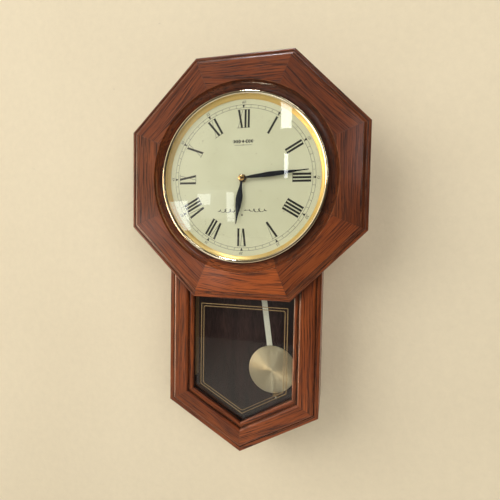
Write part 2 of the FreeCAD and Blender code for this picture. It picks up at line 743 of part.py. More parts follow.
def dial_assembly():
    bezel = turned("bezel_ring", outline(
        ("dims.bezel_radius", "dims.ledge_drop"),
        ("dims.bezel_radius", "1.2", "-1.3"),
        ("dims.bezel_radius - 1.2", "0"),
        ("dims.bezel_bore + 0.4", "0", "-2.6"),
        ("dims.bezel_lip", "1.3"),
        ("dims.bezel_lip", "1.6"),
        ("dims.bezel_bore", "1.95"),
        ("dims.bezel_bore", "dims.ledge_drop"),
    ))
    seats = [circle(f"dims.dial_screw_circle * sin({turn})",
                    f"dims.dial_screw_circle * cos({turn})", "dims.dial_screw_radius")
             for turn in bezel_screw_turns()]
    cut_plate(bezel, seats, "dims.dial_screw_tip", "dims.ledge_drop")
    keep(bezel)

    crown = "dims.crystal_rim - dims.crystal_rise"
    keep(turned("crystal", outline(
        ("0", crown, crown_radius()),
        ("dims.crystal_radius", "dims.crystal_rim"),
        ("dims.crystal_radius", "dims.crystal_rim + dims.crystal_thick",
         f"-{crown_radius()}"),
        ("0", f"{crown} + dims.crystal_thick"),
    )))
    keep(turned("reflector_ring", outline(
        ("dims.reflector_bore", "dims.dial_front"),
        ("dims.reflector_bore", "dims.dial_front - 0.6", "-14"),
        ("dims.bezel_bore - 0.7", "dims.reflector_rim"),
        ("dims.bezel_bore - 0.1", "dims.reflector_rim"),
        ("dims.bezel_bore - 0.1", "dims.dial_front"),
    )))
    keep(plate("dial_plate", [
        circle("0", "0", "dims.dial_radius"), circle("0", "0", "dims.dial_hole")],
        "dims.dial_front", "dims.ledge_drop"))

    screws = plate("bezel_screws", seats, "dims.dial_screw_tip", "dims.octagon_thick")
    heads = [circle(f"dims.dial_screw_circle * sin({turn})",
                    f"dims.dial_screw_circle * cos({turn})", "dims.dial_screw_head")
             for turn in bezel_screw_turns()]
    add_plate(screws, heads, "dims.octagon_thick", "dims.octagon_thick + 1.6")
    keep(screws)


def bezel_screw_turns():
    """Angles of the bezel screws, clockwise from the top: one in every second rail."""
    lean = "dims.dial_screw_turn"
    return (f"45 - {lean}", f"135 + {lean}", f"225 - {lean}", f"315 + {lean}")


# ---------------------------------------------------------------- movement

def step(start, reach, direction):
    """Point at a distance and direction from another, in the front view."""
    angle = math.radians(direction)
    return (start[0] + reach * math.cos(angle), start[1] + reach * math.sin(angle))


def centre_distance(teeth, other, module):
    return (teeth + other) / 2 * size(module)


def train_axes():
    """Axis of each wheel in the front view, the arbor at (0, 0)."""
    arbor = (0, 0)
    motion = size("dims.motion_reach")
    minute = step(arbor, motion, TO_MINUTE_WHEEL)
    third = step(arbor, centre_distance(
        CENTRE_WHEEL_TEETH, SMALL_PINION_TEETH, "dims.train_module"), TO_THIRD_WHEEL)
    seconds = step(third, centre_distance(
        THIRD_WHEEL_TEETH, SMALL_PINION_TEETH, "dims.train_module"), TO_SECONDS_WHEEL)
    fifth = step(seconds, centre_distance(
        SECONDS_WHEEL_TEETH, SMALL_PINION_TEETH, "dims.fifth_module"), TO_FIFTH_WHEEL)
    rotor = step(fifth, centre_distance(
        FIFTH_WHEEL_TEETH, SMALL_PINION_TEETH, "dims.rotor_module"), TO_ROTOR)
    return {
        "arbor": arbor, "minute": minute, "knob": step(minute, motion, TO_SET_KNOB),
        "third": third, "seconds": seconds, "fifth": fifth, "rotor": rotor,
    }


def involute(angle):
    return math.tan(angle) - angle


def polar(radius, angle):
    return Vector(radius * math.cos(angle), 0, radius * math.sin(angle))


def gear_wire(teeth, module, phase):
    """Gear outline in the front view. A tooth is centred at the phase angle, in degrees."""
    pitch_radius = teeth * module / 2
    base_radius = pitch_radius * math.cos(PRESSURE_ANGLE)
    root_radius = pitch_radius - DEDENDUM * module
    tip_radius = pitch_radius + ADDENDUM * module
    foot_radius = max(base_radius, root_radius)
    half_tooth = TOOTH_SHARE * math.pi / teeth + involute(PRESSURE_ANGLE)

    def flank(radius):
        return half_tooth - involute(math.acos(min(1, base_radius / radius)))

    radii = [foot_radius, (foot_radius + tip_radius) / 2, tip_radius]
    edges = []
    for tooth in range(teeth):
        centre = math.radians(phase) + 2 * math.pi * tooth / teeth
        after = centre + 2 * math.pi / teeth
        rise = [polar(radius, centre - flank(radius)) for radius in radii]
        fall = [polar(radius, centre + flank(radius)) for radius in reversed(radii)]
        root_start = polar(root_radius, centre + flank(foot_radius))
        root_end = polar(root_radius, after - flank(foot_radius))
        root_middle = polar(root_radius, (centre + after) / 2)
        next_foot = polar(foot_radius, after - flank(foot_radius))
        edges.append(Part.Arc(*rise).toShape())
        edges.append(Part.Arc(rise[-1], polar(tip_radius, centre), fall[0]).toShape())
        edges.append(Part.Arc(*fall).toShape())
        if foot_radius > root_radius:
            edges.append(Part.makeLine(fall[-1], root_start))
        edges.append(Part.Arc(root_start, root_middle, root_end).toShape())
        if foot_radius > root_radius:
            edges.append(Part.makeLine(root_end, next_foot))
    return Part.Wire(edges)


def gear(teeth, module, phase, front, back):
    face = Part.Face(gear_wire(teeth, size(module), phase))
    face.translate(Vector(0, front, 0))
    return face.extrude(Vector(0, back - front, 0))


def rod(radius, front, back):
    return Part.makeCylinder(radius, back - front, Vector(0, front, 0), AXIS_Y)


def mesh_phase(phase, teeth, other, direction):
    """Phase of a gear that meshes with one of a known phase, in a direction from it."""
    pitch = 360 / teeth
    past = (direction - phase) % pitch
    return direction + 180 + past * teeth / other + 180 / other


def wheel_feature(label, shape, axis):
    """Sub-part with a shape of its own, turning about an axis of the train."""
    item = doc.addObject("Part::Feature", label)
    item.Label = label
    item.Shape = shape
    keep(item, f"{axis[0]}", f"{axis[1]}")
    return item


def joined(shapes):
    return shapes[0].fuse(shapes[1:]).removeSplitter()


def motion_works(axes):
    """Cannon pinion, minute wheel, hour wheel and set knob: 12 to 1 between the hands."""
    pipe = size("dims.minute_pipe")
    play = size("dims.running_gap")
    pivot = size("dims.big_pivot")
    end = size("dims.case_rear") - 1.2
    plate_front = size("dims.plate_front")
    arbor = joined([
        rod(pipe, size("dims.minute_pipe_front"), ARBOR_SHOULDER),
        rod(pivot, ARBOR_SHOULDER, end),
        gear(CANNON_TEETH, "dims.motion_module", TO_MINUTE_WHEEL, *CANNON_LAYER),
    ])
    wheel_feature("minute_arbor", arbor, axes["arbor"])

    wheel_phase = mesh_phase(TO_MINUTE_WHEEL, CANNON_TEETH, MINUTE_WHEEL_TEETH, TO_MINUTE_WHEEL)
    wheel = joined([
        gear(MINUTE_WHEEL_TEETH, "dims.motion_module", wheel_phase, *MINUTE_WHEEL_LAYER),
        gear(MINUTE_PINION_TEETH, "dims.hour_module", TO_MINUTE_WHEEL + 180,
             *MINUTE_PINION_LAYER),
        rod(pivot, MINUTE_POST_FRONT, plate_front + 1),
    ])
    wheel_feature("minute_wheel", wheel, axes["minute"])

    hour_phase = mesh_phase(
        TO_MINUTE_WHEEL + 180, MINUTE_PINION_TEETH, HOUR_WHEEL_TEETH, TO_MINUTE_WHEEL + 180)
    hour = joined([
        gear(HOUR_WHEEL_TEETH, "dims.hour_module", hour_phase, *HOUR_WHEEL_LAYER),
        rod(size("dims.hour_pipe"), size("dims.hour_pipe_front"), HOUR_PIPE_REAR),
    ]).cut(rod(pipe + play, 0, HOUR_PIPE_REAR + 1))
    wheel_feature("hour_wheel", hour, axes["arbor"])

    knob_phase = mesh_phase(wheel_phase, MINUTE_WHEEL_TEETH, CANNON_TEETH, TO_SET_KNOB)
    knob_radius = size("dims.knob_radius")
    knob_front = size("dims.knob_front")
    knob_rear = size("dims.knob_rear")
    grip = rod(knob_radius, knob_front, knob_rear)
    for index in range(KNOB_NOTCHES):
        notch = Part.makeCylinder(KNOB_NOTCH_RADIUS, knob_rear - knob_front, polar(
            knob_radius, 2 * math.pi * index / KNOB_NOTCHES) + Vector(0, knob_front, 0), AXIS_Y)
        grip = grip.cut(notch)
    knob = joined([
        gear(CANNON_TEETH, "dims.motion_module", knob_phase, *CANNON_LAYER),
        rod(pipe, CANNON_LAYER[1], knob_front),
        grip,
    ])
    wheel_feature("set_knob", knob, axes["knob"])


def running_train(axes):
    """Step motor's rotor down to the centre wheel: 1800 turns to one."""
    small = size("dims.pivot_radius")
    start = size("dims.plate_rear") - 0.8
    end = size("dims.case_rear") - 1.2
    hub = 1
    thick = TRAIN_WHEEL_THICK
    reach = TRAIN_OVERLAP

    phase = TO_ROTOR + 180
    rotor = joined([
        rod(size("dims.rotor_radius"), *ROTOR_LAYER),
        gear(SMALL_PINION_TEETH, "dims.rotor_module", phase, ROTOR_PINION_FRONT,
             ROTOR_LAYER[0]),
        rod(small, start, end),
    ])
    wheel_feature("rotor", rotor, axes["rotor"])

    chain = (
        ("fifth_wheel", "fifth", FIFTH_WHEEL_TEETH, "dims.rotor_module", TO_ROTOR + 180,
         "seconds", "dims.fifth_module", TO_FIFTH_WHEEL + 180),
        ("seconds_wheel", "seconds", SECONDS_WHEEL_TEETH, "dims.fifth_module",
         TO_FIFTH_WHEEL + 180, "third", "dims.train_module", TO_SECONDS_WHEEL + 180),
        ("third_wheel", "third", THIRD_WHEEL_TEETH, "dims.train_module",
         TO_SECONDS_WHEEL + 180, "centre", "dims.train_module", TO_THIRD_WHEEL + 180),
    )
    for label, name, teeth, module, came, following, pinion_module, goes in chain:
        front = TRAIN_LAYERS[name]
        pinion_front = TRAIN_LAYERS[following] - reach
        wheel = joined([
            gear(teeth, module, mesh_phase(phase, SMALL_PINION_TEETH, teeth, came), front,
                 front + thick),
            gear(SMALL_PINION_TEETH, pinion_module, goes, pinion_front, front),
            rod(small, start, end),
            rod(hub, front, front + thick + reach),
        ])
        wheel_feature(label, wheel, axes[name])
        phase = goes

    front = TRAIN_LAYERS["centre"]
    bore = rod(size("dims.minute_pipe") + size("dims.running_gap"), 0, ROTOR_LAYER[1])
    centre = joined([
        gear(CENTRE_WHEEL_TEETH, "dims.train_module",
             mesh_phase(phase, SMALL_PINION_TEETH, CENTRE_WHEEL_TEETH, TO_THIRD_WHEEL + 180),
             front, front + thick),
        rod(3, front - reach, front + thick + reach),
    ]).cut(bore)
    wheel_feature("centre_wheel", centre, axes["arbor"])


def movement_shells(axes):
    wall = "dims.case_wall"
    outside = box("-dims.case_half", "-dims.case_low", "dims.case_half", "dims.case_high")
    inside = box(f"-dims.case_half + {wall}", f"-dims.case_low + {wall}",
                 f"dims.case_half - {wall}", f"dims.case_high - {wall}")
    bore = "dims.hour_pipe + dims.running_gap"
    pipe_hole = "dims.minute_pipe + dims.running_gap"
    big_hole = f"dims.big_pivot + {PIVOT_PLAY}"

    front = plate("movement_front", [outside, circle("0", "0", bore)],
                  "dims.case_front", f"dims.case_front + {wall}")
    add_plate(front, [outside, inside], f"dims.case_front + {wall}", "dims.case_split")
    add_plate(front, [circle("0", "0", "dims.bush_radius"), circle("0", "0", bore)],
              "dims.bush_front", "dims.case_front")
    posts = [circle(x, z, "dims.post_radius")
             for x in ("-dims.post_side", "dims.post_side")
             for z in ("dims.post_high", "-dims.post_low")]
    add_plate(front, posts, f"dims.case_front + {wall}", "dims.plate_front")
    minute = axes["minute"]
    cut_plate(front, [circle(f"{minute[0]}", f"{minute[1]}", big_hole)],
              f"{MINUTE_POST_SEAT}", f"dims.case_front + {wall}")
    keep(front)

    knob = axes["knob"]
    middle = plate("movement_plate", [
        box("-dims.post_side - 2", "-dims.post_low - 4", "dims.post_side + 2",
            "dims.case_high - 3"),
        circle("0", "0", pipe_hole),
        circle(f"{knob[0]}", f"{knob[1]}", pipe_hole),
        circle(f"{minute[0]}", f"{minute[1]}", big_hole)],
        "dims.plate_front", "dims.plate_rear")
    pivots = [circle(f"{axes[name][0]}", f"{axes[name][1]}", f"dims.pivot_radius + {PIVOT_PLAY}")
              for name in ("third", "seconds", "fifth", "rotor")]
    cut_plate(middle, pivots, "dims.plate_front", "dims.plate_rear")
    keep(middle)

    bay = box("-dims.bay_half", "-dims.bay_low", "dims.bay_half", "-dims.bay_high")
    rear = plate("movement_rear", [outside, inside], "dims.case_split",
                 f"dims.case_rear - {wall}")
    add_plate(rear, [outside, bay, circle(f"{knob[0]}", f"{knob[1]}", pipe_hole)],
              f"dims.case_rear - {wall}", "dims.case_rear")
    partition = "-dims.cell_drop + dims.cell_radius + 2.5"
    add_plate(rear, [box(f"-dims.case_half + {wall}", partition, f"dims.case_half - {wall}",
                         f"{partition} + 1.2")], "dims.case_split",
              f"dims.case_rear - {wall}")
    cut_plate(rear, pivots, f"dims.case_rear - {wall}", "dims.case_rear - 1")
    cut_plate(rear, [circle("0", "0", big_hole)], f"dims.case_rear - {wall}",
              "dims.case_rear - 1")
    for side in ("-1", "1"):
        guide = [box(f"{side} * (dims.cover_half + 1.8) - 1.5", "-dims.case_low",
                     f"{side} * (dims.cover_half + 1.8) + 1.5", "-dims.bay_high + 2")]
        add_plate(rear, guide, "dims.case_rear", "dims.case_rear + 3")
        lip = [box(f"{side} * (dims.cover_half + 0.3) - 1", "-dims.case_low",
                   f"{side} * (dims.cover_half + 0.3) + 1", "-dims.bay_high + 2")]
        add_plate(rear, lip, "dims.case_rear + dims.cover_thick + 0.4", "dims.case_rear + 3")
    keep(rear)

    flat = "dims.nut_half"
    corner = "dims.nut_half / cos(30)"
    half_corner = "dims.nut_half * tan(30)"
    keep(plate("centre_nut", [
        outline((corner, "0"), (half_corner, flat), (f"-({half_corner})", flat),
                (f"-({corner})", "0"), (f"-({half_corner})", f"-{flat}"),
                (half_corner, f"-{flat}")),
        circle("0", "0", "dims.bush_radius")],
        "dims.dial_front - dims.nut_thick", "dims.dial_front"))


def motor(axes):
    rotor = axes["rotor"]
    front = "dims.stator_front"
    back = "dims.stator_front + dims.stator_thick"
    leg_end = "-dims.coil_drop + 0.8"
    stator = plate("motor_stator", [
        outline(("dims.bar_left", leg_end), ("dims.bar_left + 3", leg_end),
                ("dims.bar_left + 3", "-4"), ("dims.bar_right - 3", "-4"),
                ("dims.bar_right - 3", leg_end), ("dims.bar_right", leg_end),
                ("dims.bar_right", "8"), ("dims.bar_left", "8")),
        circle(f"{rotor[0]}", f"{rotor[1]}", "dims.rotor_radius + 0.5")], front, back)
    keep(stator)

    coil = plate("motor_coil", [
        box("dims.bar_left", "-dims.coil_drop - 0.8", "dims.bar_right", leg_end)],
        f"{front} - 0.2", f"{back} + 0.2")
    winding = new_sketch(coil, "YZ_Plane", "dims.bar_left + 3.6")
    circle(f"{front} + dims.stator_thick / 2", "-dims.coil_drop", "dims.coil_radius")(winding)
    turns = coil.newObject("PartDesign::Pad", "winding")
    turns.Profile = winding
    turns.setExpression("Length", "dims.bar_right - dims.bar_left - 7.2")
    doc.recompute()
    keep(coil)

    face = "dims.circuit_front"
    middle = "-(dims.circuit_high + dims.circuit_low) / 2"
    board = plate("circuit_board", [box(
        "dims.circuit_left", "-dims.circuit_low", "dims.circuit_right", "-dims.circuit_high")],
        face, f"{face} + dims.circuit_thick")
    add_plate(board, [circle("dims.circuit_left + 10", middle, "3")], f"{face} - 1", face)
    add_plate(board, [box("dims.circuit_left + 20", f"{middle} - 2", "dims.circuit_left + 28",
                          f"{middle} + 1")], f"{face} - 2", face)
    keep(board)

    loop = plate("drive_coil", [
        circle("0", "dims.pivot_rise - dims.magnet_reach", "dims.coil_outer"),
        circle("0", "dims.pivot_rise - dims.magnet_reach", "dims.coil_inner")],
        "dims.case_rear", "dims.case_rear + dims.coil_thick")
    keep(loop)


def battery():
    depth = "dims.cell_depth"
    drop = "-dims.cell_drop"
    cell = new_body("battery_cell")
    for offset, radius, length in (
            ("-dims.cell_half", "dims.cell_radius", "2 * dims.cell_half - 1"),
            ("dims.cell_half - 1", "2.75", "1")):
        end = new_sketch(cell, "YZ_Plane", offset)
        circle(depth, drop, radius)(end)
        can = cell.newObject("PartDesign::Pad", "can")
        can.Profile = end
        can.setExpression("Length", length)
        doc.recompute()
    keep(cell)

    strips = [box(f"{side} * (dims.cell_half + 0.3) - 0.25", f"{drop} - 5",
                  f"{side} * (dims.cell_half + 0.3) + 0.25", f"{drop} + 5")
              for side in ("-1", "1")]
    keep(plate("battery_contacts", strips, f"{depth} - 5", "dims.case_rear - dims.case_wall"))

    cover = plate("battery_cover", [box(
        "-dims.cover_half", "-dims.case_low + 0.5", "dims.cover_half", "-dims.bay_high + 2")],
        "dims.case_rear + 0.1", "dims.case_rear + 0.1 + dims.cover_thick")
    ridges = [box("-8", f"{drop} + {z}", "8", f"{drop} + {z} + 0.9") for z in (-4, -2, 0, 2)]
    add_plate(cover, ridges, "dims.case_rear + 0.1 + dims.cover_thick",
              "dims.case_rear + 0.7 + dims.cover_thick")
    keep(cover)


# ---------------------------------------------------------------- hands

def hour_hand():
    """Leaf hand: hub, narrow neck, wide leaf and fine tip."""
    front = "dims.hour_front"
    tip = "dims.hour_long"
    blade = mirrored(
        ("1.6", "3"), ("1.9", "9", "60"), ("dims.hour_belly", f"0.45 * {tip}", "14"),
        ("3.4", f"0.61 * {tip}"), ("2", f"0.69 * {tip}", "-60"), ("0.6", f"{tip} - 1.2"),
        ("0", tip))
    hand = plate("hour_hand", [blade], front, f"{front} + dims.hand_thick")
    add_plate(hand, [circle("0", "0", "6")], front, f"{front} + dims.hand_thick")
    add_plate(hand, [circle("0", "0", "dims.hour_pipe + 1")], front, f"{front} + 1.2")
    cut_plate(hand, [circle("0", "0", "dims.hour_pipe")], front, f"{front} + 1.2")
    keep(hand, turn="dims.hour_turn")


def minute_hand():
    front = "dims.minute_front"
    tip = "dims.minute_long"
    blade = mirrored(
        ("1.4", "3"), ("1.6", "9", "150"), ("dims.minute_belly", f"0.55 * {tip}", "90"),
        ("1.2", f"0.9 * {tip}"), ("0.4", f"{tip} - 1"), ("0", tip))
    hand = plate("minute_hand", [blade], front, f"{front} + dims.hand_thick")
    add_plate(hand, [circle("0", "0", "5")], front, f"{front} + dims.hand_thick")
    add_plate(hand, [circle("0", "0", "dims.minute_pipe + 1")], front, f"{front} + 1.2")
    cut_plate(hand, [circle("0", "0", "dims.minute_pipe")], front, f"{front} + 1.2")
    keep(hand, turn="dims.minute_turn")

    keep(turned("hand_nut", outline(
        ("dims.minute_pipe", front),
        ("dims.minute_pipe", "-0.3"),
        ("0", "-0.3"),
        ("0", "-1.5", "4.9"),
        ("dims.cap_radius", "1.2"),
        ("dims.cap_radius", front),
    )))


# ---------------------------------------------------------------- pendulum

def keep_on_pendulum(item):
    """Pendulum pieces hang straight down from the pivot and are turned together."""
    keep(item, z="dims.pivot_rise", turn="-dims.swing_rest")


def pendulum_bracket():
    bracket = plate("pendulum_bracket", [box("-12", "-8", "12", "13")], "dims.case_rear",
                    "dims.case_rear + 2")
    spin(bracket, "Revolution", outline(
        ("0", "dims.case_rear + 1"),
        ("0", "dims.pin_end"),
        ("dims.pin_head", "dims.pin_end"),
        ("dims.pin_head", "dims.pin_head_front"),
        ("dims.hang_pin", "dims.pin_head_front"),
        ("dims.hang_pin", "dims.carrier_front - 0.3"),
        ("dims.hub_radius", "dims.carrier_front - 0.3"),
        ("dims.hub_radius", "dims.case_rear + 1"),
    ))
    keep(bracket, z="dims.pivot_rise")


def pendulum_carrier():
    bore = circle("0", "0", "dims.hang_pin + dims.running_gap")
    carrier = plate("pendulum_carrier", [
        upright_slot("-dims.hook_reach - 2", "0", "4.5"), bore],
        "dims.carrier_front", "dims.carrier_rear")
    add_plate(carrier, [circle("0", "0", "dims.hub_radius"), bore], "dims.carrier_rear",
              "dims.carrier_hub")
    peg_rear = "dims.rod_depth + dims.rod_thick / 2"
    add_plate(carrier, [circle("0", "-dims.hook_reach", "1.5")], "dims.carrier_rear",
              f"{peg_rear} + 1.5")
    add_plate(carrier, [circle("0", "-dims.hook_reach", "2.4")], f"{peg_rear} + 0.3",
              f"{peg_rear} + 1.5")
    add_plate(carrier, [circle("0", "-dims.hook_reach", "3")], "dims.carrier_rear",
              "dims.rod_depth - dims.rod_thick / 2 - 0.3")
    keep_on_pendulum(carrier)
    keep_on_pendulum(plate("drive_magnet", [
        circle("0", "-dims.magnet_reach", "dims.hub_radius")],
        "dims.carrier_front - dims.magnet_thick", "dims.carrier_front"))


def pendulum_rod():
    half_thick = "dims.rod_thick / 2"
    strip = mirrored(("dims.rod_half", "-dims.rod_end"), ("dims.rod_half", "-dims.rod_top"))
    flat = plate("pendulum_rod", [strip, circle("0", "-dims.hook_reach", "1.6")],
                 f"dims.rod_depth - {half_thick}", f"dims.rod_depth + {half_thick}")
    end = new_sketch(flat, "XY_Plane", "-dims.stud_end")
    circle("0", "dims.rod_depth", "dims.stud_radius")(end)
    stud = flat.newObject("PartDesign::Pad", "stud")
    stud.Profile = end
    stud.setExpression("Length", "dims.stud_end - dims.rod_end + 6")
    doc.recompute()
    keep_on_pendulum(flat)


def pendulum_bob():
    radius = "dims.bob_radius"
    split = "dims.bob_split"
    crown = "dims.bob_crown"
    sphere = f"(({radius} * {radius} + {crown} * {crown}) / (2 * {crown}))"
    cover = new_body("bob_cover")
    spin(cover, "Revolution", outline(
        ("0", f"{split} - {crown} - 0.8", sphere),
        (radius, f"{split} - 0.8"),
        (radius, split),
        (f"{radius} - 0.8", split, f"-({sphere})"),
        ("0", f"{split} - {crown}"),
    ))
    keep_bob(cover)

    back = plate("bob_back", [circle("0", "0", f"{radius} - 0.4")], split,
                 f"{split} + dims.bob_back")
    cut_plate(back, [box("-dims.rod_half - 0.2", f"-{radius} - 1", "dims.rod_half + 0.2",
                         f"{radius} + 1")], split, "dims.rod_depth + dims.stud_radius + 0.3")
    keep_bob(back)

    nut = new_body("rating_nut")
    ring = new_sketch(nut, "XY_Plane", "-dims.nut_reach - dims.rating_high")
    circle("0", "dims.rod_depth", "dims.rating_radius")(ring)
    circle("0", "dims.rod_depth", "dims.stud_radius + dims.running_gap")(ring)
    disc = nut.newObject("PartDesign::Pad", "disc")
    disc.Profile = ring
    disc.setExpression("Length", "dims.rating_high")
    doc.recompute()
    keep_on_pendulum(nut)


def keep_bob(item):
    """Bob pieces are drawn about the bob's own axis."""
    keep(item, x="dims.bob_reach * sin(dims.swing_rest)",
         z="dims.pivot_rise - dims.bob_reach * cos(dims.swing_rest)", turn="-dims.swing_rest")


# ---------------------------------------------------------------- checks and export

def check_document():
    doc.recompute()
    for item in doc.Objects:
        if "Invalid" in item.State or "Error" in item.State:
            raise RuntimeError(f"{item.Label} failed: {item.State}")
    for item in subparts:
        if item.Shape.isNull() or not item.Shape.isValid():
            raise RuntimeError(f"{item.Label} has no valid shape")


def export_subparts():
    os.makedirs("parts", exist_ok=True)
    for item in subparts:
        item.Shape.exportStep(os.path.join("parts", f"{item.Label}.step"))
        print(f"{item.Label}: {len(item.Shape.Solids)} solid(s), {item.Shape.Volume:.1f} mm3")


def build():
    fill_sheet()
    for number in range(1, 9):
        octagon_rail(number)
    drop_frame()
    case_boards()
    window()
    case_back(wood_screws())
    speaker()
    dial_assembly()
    axes = train_axes()
    movement_shells(axes)
    motion_works(axes)
    running_train(axes)
    motor(axes)
    battery()
    hour_hand()
    minute_hand()
    pendulum_bracket()
    pendulum_carrier()
    pendulum_rod()
    pendulum_bob()
    check_document()
    export_subparts()


build()
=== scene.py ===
"""Looks for the schoolhouse wall clock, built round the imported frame.

The row frame is in metres: +Z up, +X to the right as the clock is faced, its front towards -Y and
the wall at Y = 0. Shapes here are drawn in millimetres: x and z off the hands' axis, and depth
behind the octagon's face.
"""
import math

import bmesh
import bpy
from mathutils import Matrix, Vector


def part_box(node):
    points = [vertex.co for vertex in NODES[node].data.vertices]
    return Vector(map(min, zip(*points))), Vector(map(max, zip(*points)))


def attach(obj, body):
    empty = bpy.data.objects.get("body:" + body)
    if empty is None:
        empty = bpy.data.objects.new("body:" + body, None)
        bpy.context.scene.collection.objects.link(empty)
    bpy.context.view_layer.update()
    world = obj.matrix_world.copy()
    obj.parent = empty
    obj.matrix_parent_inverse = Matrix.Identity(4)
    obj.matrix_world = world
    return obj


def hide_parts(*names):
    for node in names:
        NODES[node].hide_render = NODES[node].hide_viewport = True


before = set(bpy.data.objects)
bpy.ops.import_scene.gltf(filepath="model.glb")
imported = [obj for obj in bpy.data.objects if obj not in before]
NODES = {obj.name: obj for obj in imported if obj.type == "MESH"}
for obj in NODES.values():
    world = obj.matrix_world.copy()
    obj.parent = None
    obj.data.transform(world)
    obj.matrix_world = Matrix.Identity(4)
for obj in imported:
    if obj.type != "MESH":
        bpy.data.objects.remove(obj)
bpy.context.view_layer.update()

MM = 0.001

DIAL_LOW, DIAL_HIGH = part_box("dial_plate")
AXIS_X = (DIAL_LOW.x + DIAL_HIGH.x) / 2
AXIS_Z = (DIAL_LOW.z + DIAL_HIGH.z) / 2
FACE_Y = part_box("octagon_rail_1")[0].y
DIAL_DEPTH = (DIAL_LOW.y - FACE_Y) / MM

ROUND = 192  # steps round a turned piece


# ---------------------------------------------------------------- drawing

def spot(x, z, depth):
    """Point in the row frame."""
    return Vector((AXIS_X + x * MM, FACE_Y + depth * MM, AXIS_Z + z * MM))


def polar(across, out, turn):
    """Point at a clock angle: across to the right of the ray, out along it."""
    sine, cosine = math.sin(math.radians(turn)), math.cos(math.radians(turn))
    return (across * cosine + out * sine, out * cosine - across * sine)


class Shape:
    """Gathers the faces of one piece."""

    def __init__(self):
        self.points = []
        self.faces = []

    def add(self, points, faces):
        start = len(self.points)
        self.points += points
        self.faces += [tuple(start + index for index in face) for face in faces]

    def prism(self, outline, front, back):
        """Flat piece with the same outline at both depths."""
        count = len(outline)
        points = [spot(x, z, front) for x, z in outline] + [spot(x, z, back) for x, z in outline]
        faces = [tuple(range(count)), tuple(range(2 * count - 1, count - 1, -1))]
        for index in range(count):
            after = (index + 1) % count
            faces.append((after, index, count + index, count + after))
        self.add(points, faces)

    def strip(self, line, widths, front, back):
        """Flat ribbon along a line of points, its width given at each."""
        points = []
        for index, (x, z) in enumerate(line):
            ahead = line[min(index + 1, len(line) - 1)]
            behind = line[max(index - 1, 0)]
            run = Vector((ahead[0] - behind[0], ahead[1] - behind[1])).normalized()
            half = widths[index] / 2
            for side, depth in ((1, front), (-1, front), (-1, back), (1, back)):
                points.append(spot(x - run.y * half * side, z + run.x * half * side, depth))
        faces = [(0, 1, 2, 3)]
        for index in range(len(line) - 1):
            here = 4 * index
            for corner in range(4):
                after = (corner + 1) % 4
                faces.append((here + corner, here + after, here + 4 + after, here + 4 + corner))
        last = 4 * (len(line) - 1)
        faces.append((last + 3, last + 2, last + 1, last))
        self.add(points, faces)

    def lathe(self, profile, centre=(0, 0), steps=ROUND):
        """Closed profile of (radius, depth) spun about an axis that runs front to back."""
        points, faces = [], []
        count = len(profile)
        for step in range(steps):
            turn = 2 * math.pi * step / steps
            for radius, depth in profile:
                points.append(spot(centre[0] + radius * math.sin(turn),
                                   centre[1] + radius * math.cos(turn), depth))
        for step in range(steps):
            here, there = count * step, count * ((step + 1) % steps)
            for index in range(count):
                after = (index + 1) % count
                faces.append((here + index, here + after, there + after, there + index))
        self.add(points, faces)

    def make(self, name, body, material, replaces=(), smooth=None):
        """The finished piece on its body. smooth is the angle up to which edges are shaded round."""
        mesh = bpy.data.meshes.new(name)
        mesh.from_pydata(self.points, [], self.faces)
        work = bmesh.new()
        work.from_mesh(mesh)
        bmesh.ops.remove_doubles(work, verts=work.verts, dist=1e-7)
        bmesh.ops.dissolve_degenerate(work, edges=work.edges, dist=1e-8)
        bmesh.ops.recalc_face_normals(work, faces=work.faces)
        work.to_mesh(mesh)
        work.free()
        if smooth:
            mesh.shade_smooth()
            mesh.set_sharp_from_angle(angle=math.radians(smooth))
        piece = bpy.data.objects.new(name, mesh)
        bpy.context.scene.collection.objects.link(piece)
        return place(piece, body, material, replaces)


def place(piece, body, material, replaces=()):
    piece.data.materials.append(material)
    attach(piece, body)
    if replaces:
        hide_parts(*replaces)
    return piece


def arc(start, end, radius, steps, bulge=1):
    """Points from start to end on an arc of (radius, depth) points, both ends in."""
    a, b = Vector(start), Vector(end)
    half = (b - a).length / 2
    across = (b - a).normalized()
    normal = Vector((-across.y, across.x)) * bulge
    centre = (a + b) / 2 + normal * math.sqrt(max(radius * radius - half * half, 0))
    spread = math.asin(min(half / radius, 1))
    points = []
    for step in range(steps + 1):
        lean = -spread + 2 * spread * step / steps
        points.append(tuple(centre + across * radius * math.sin(lean)
                            - normal * radius * math.cos(lean)))
    return points


# ---------------------------------------------------------------- material nodes

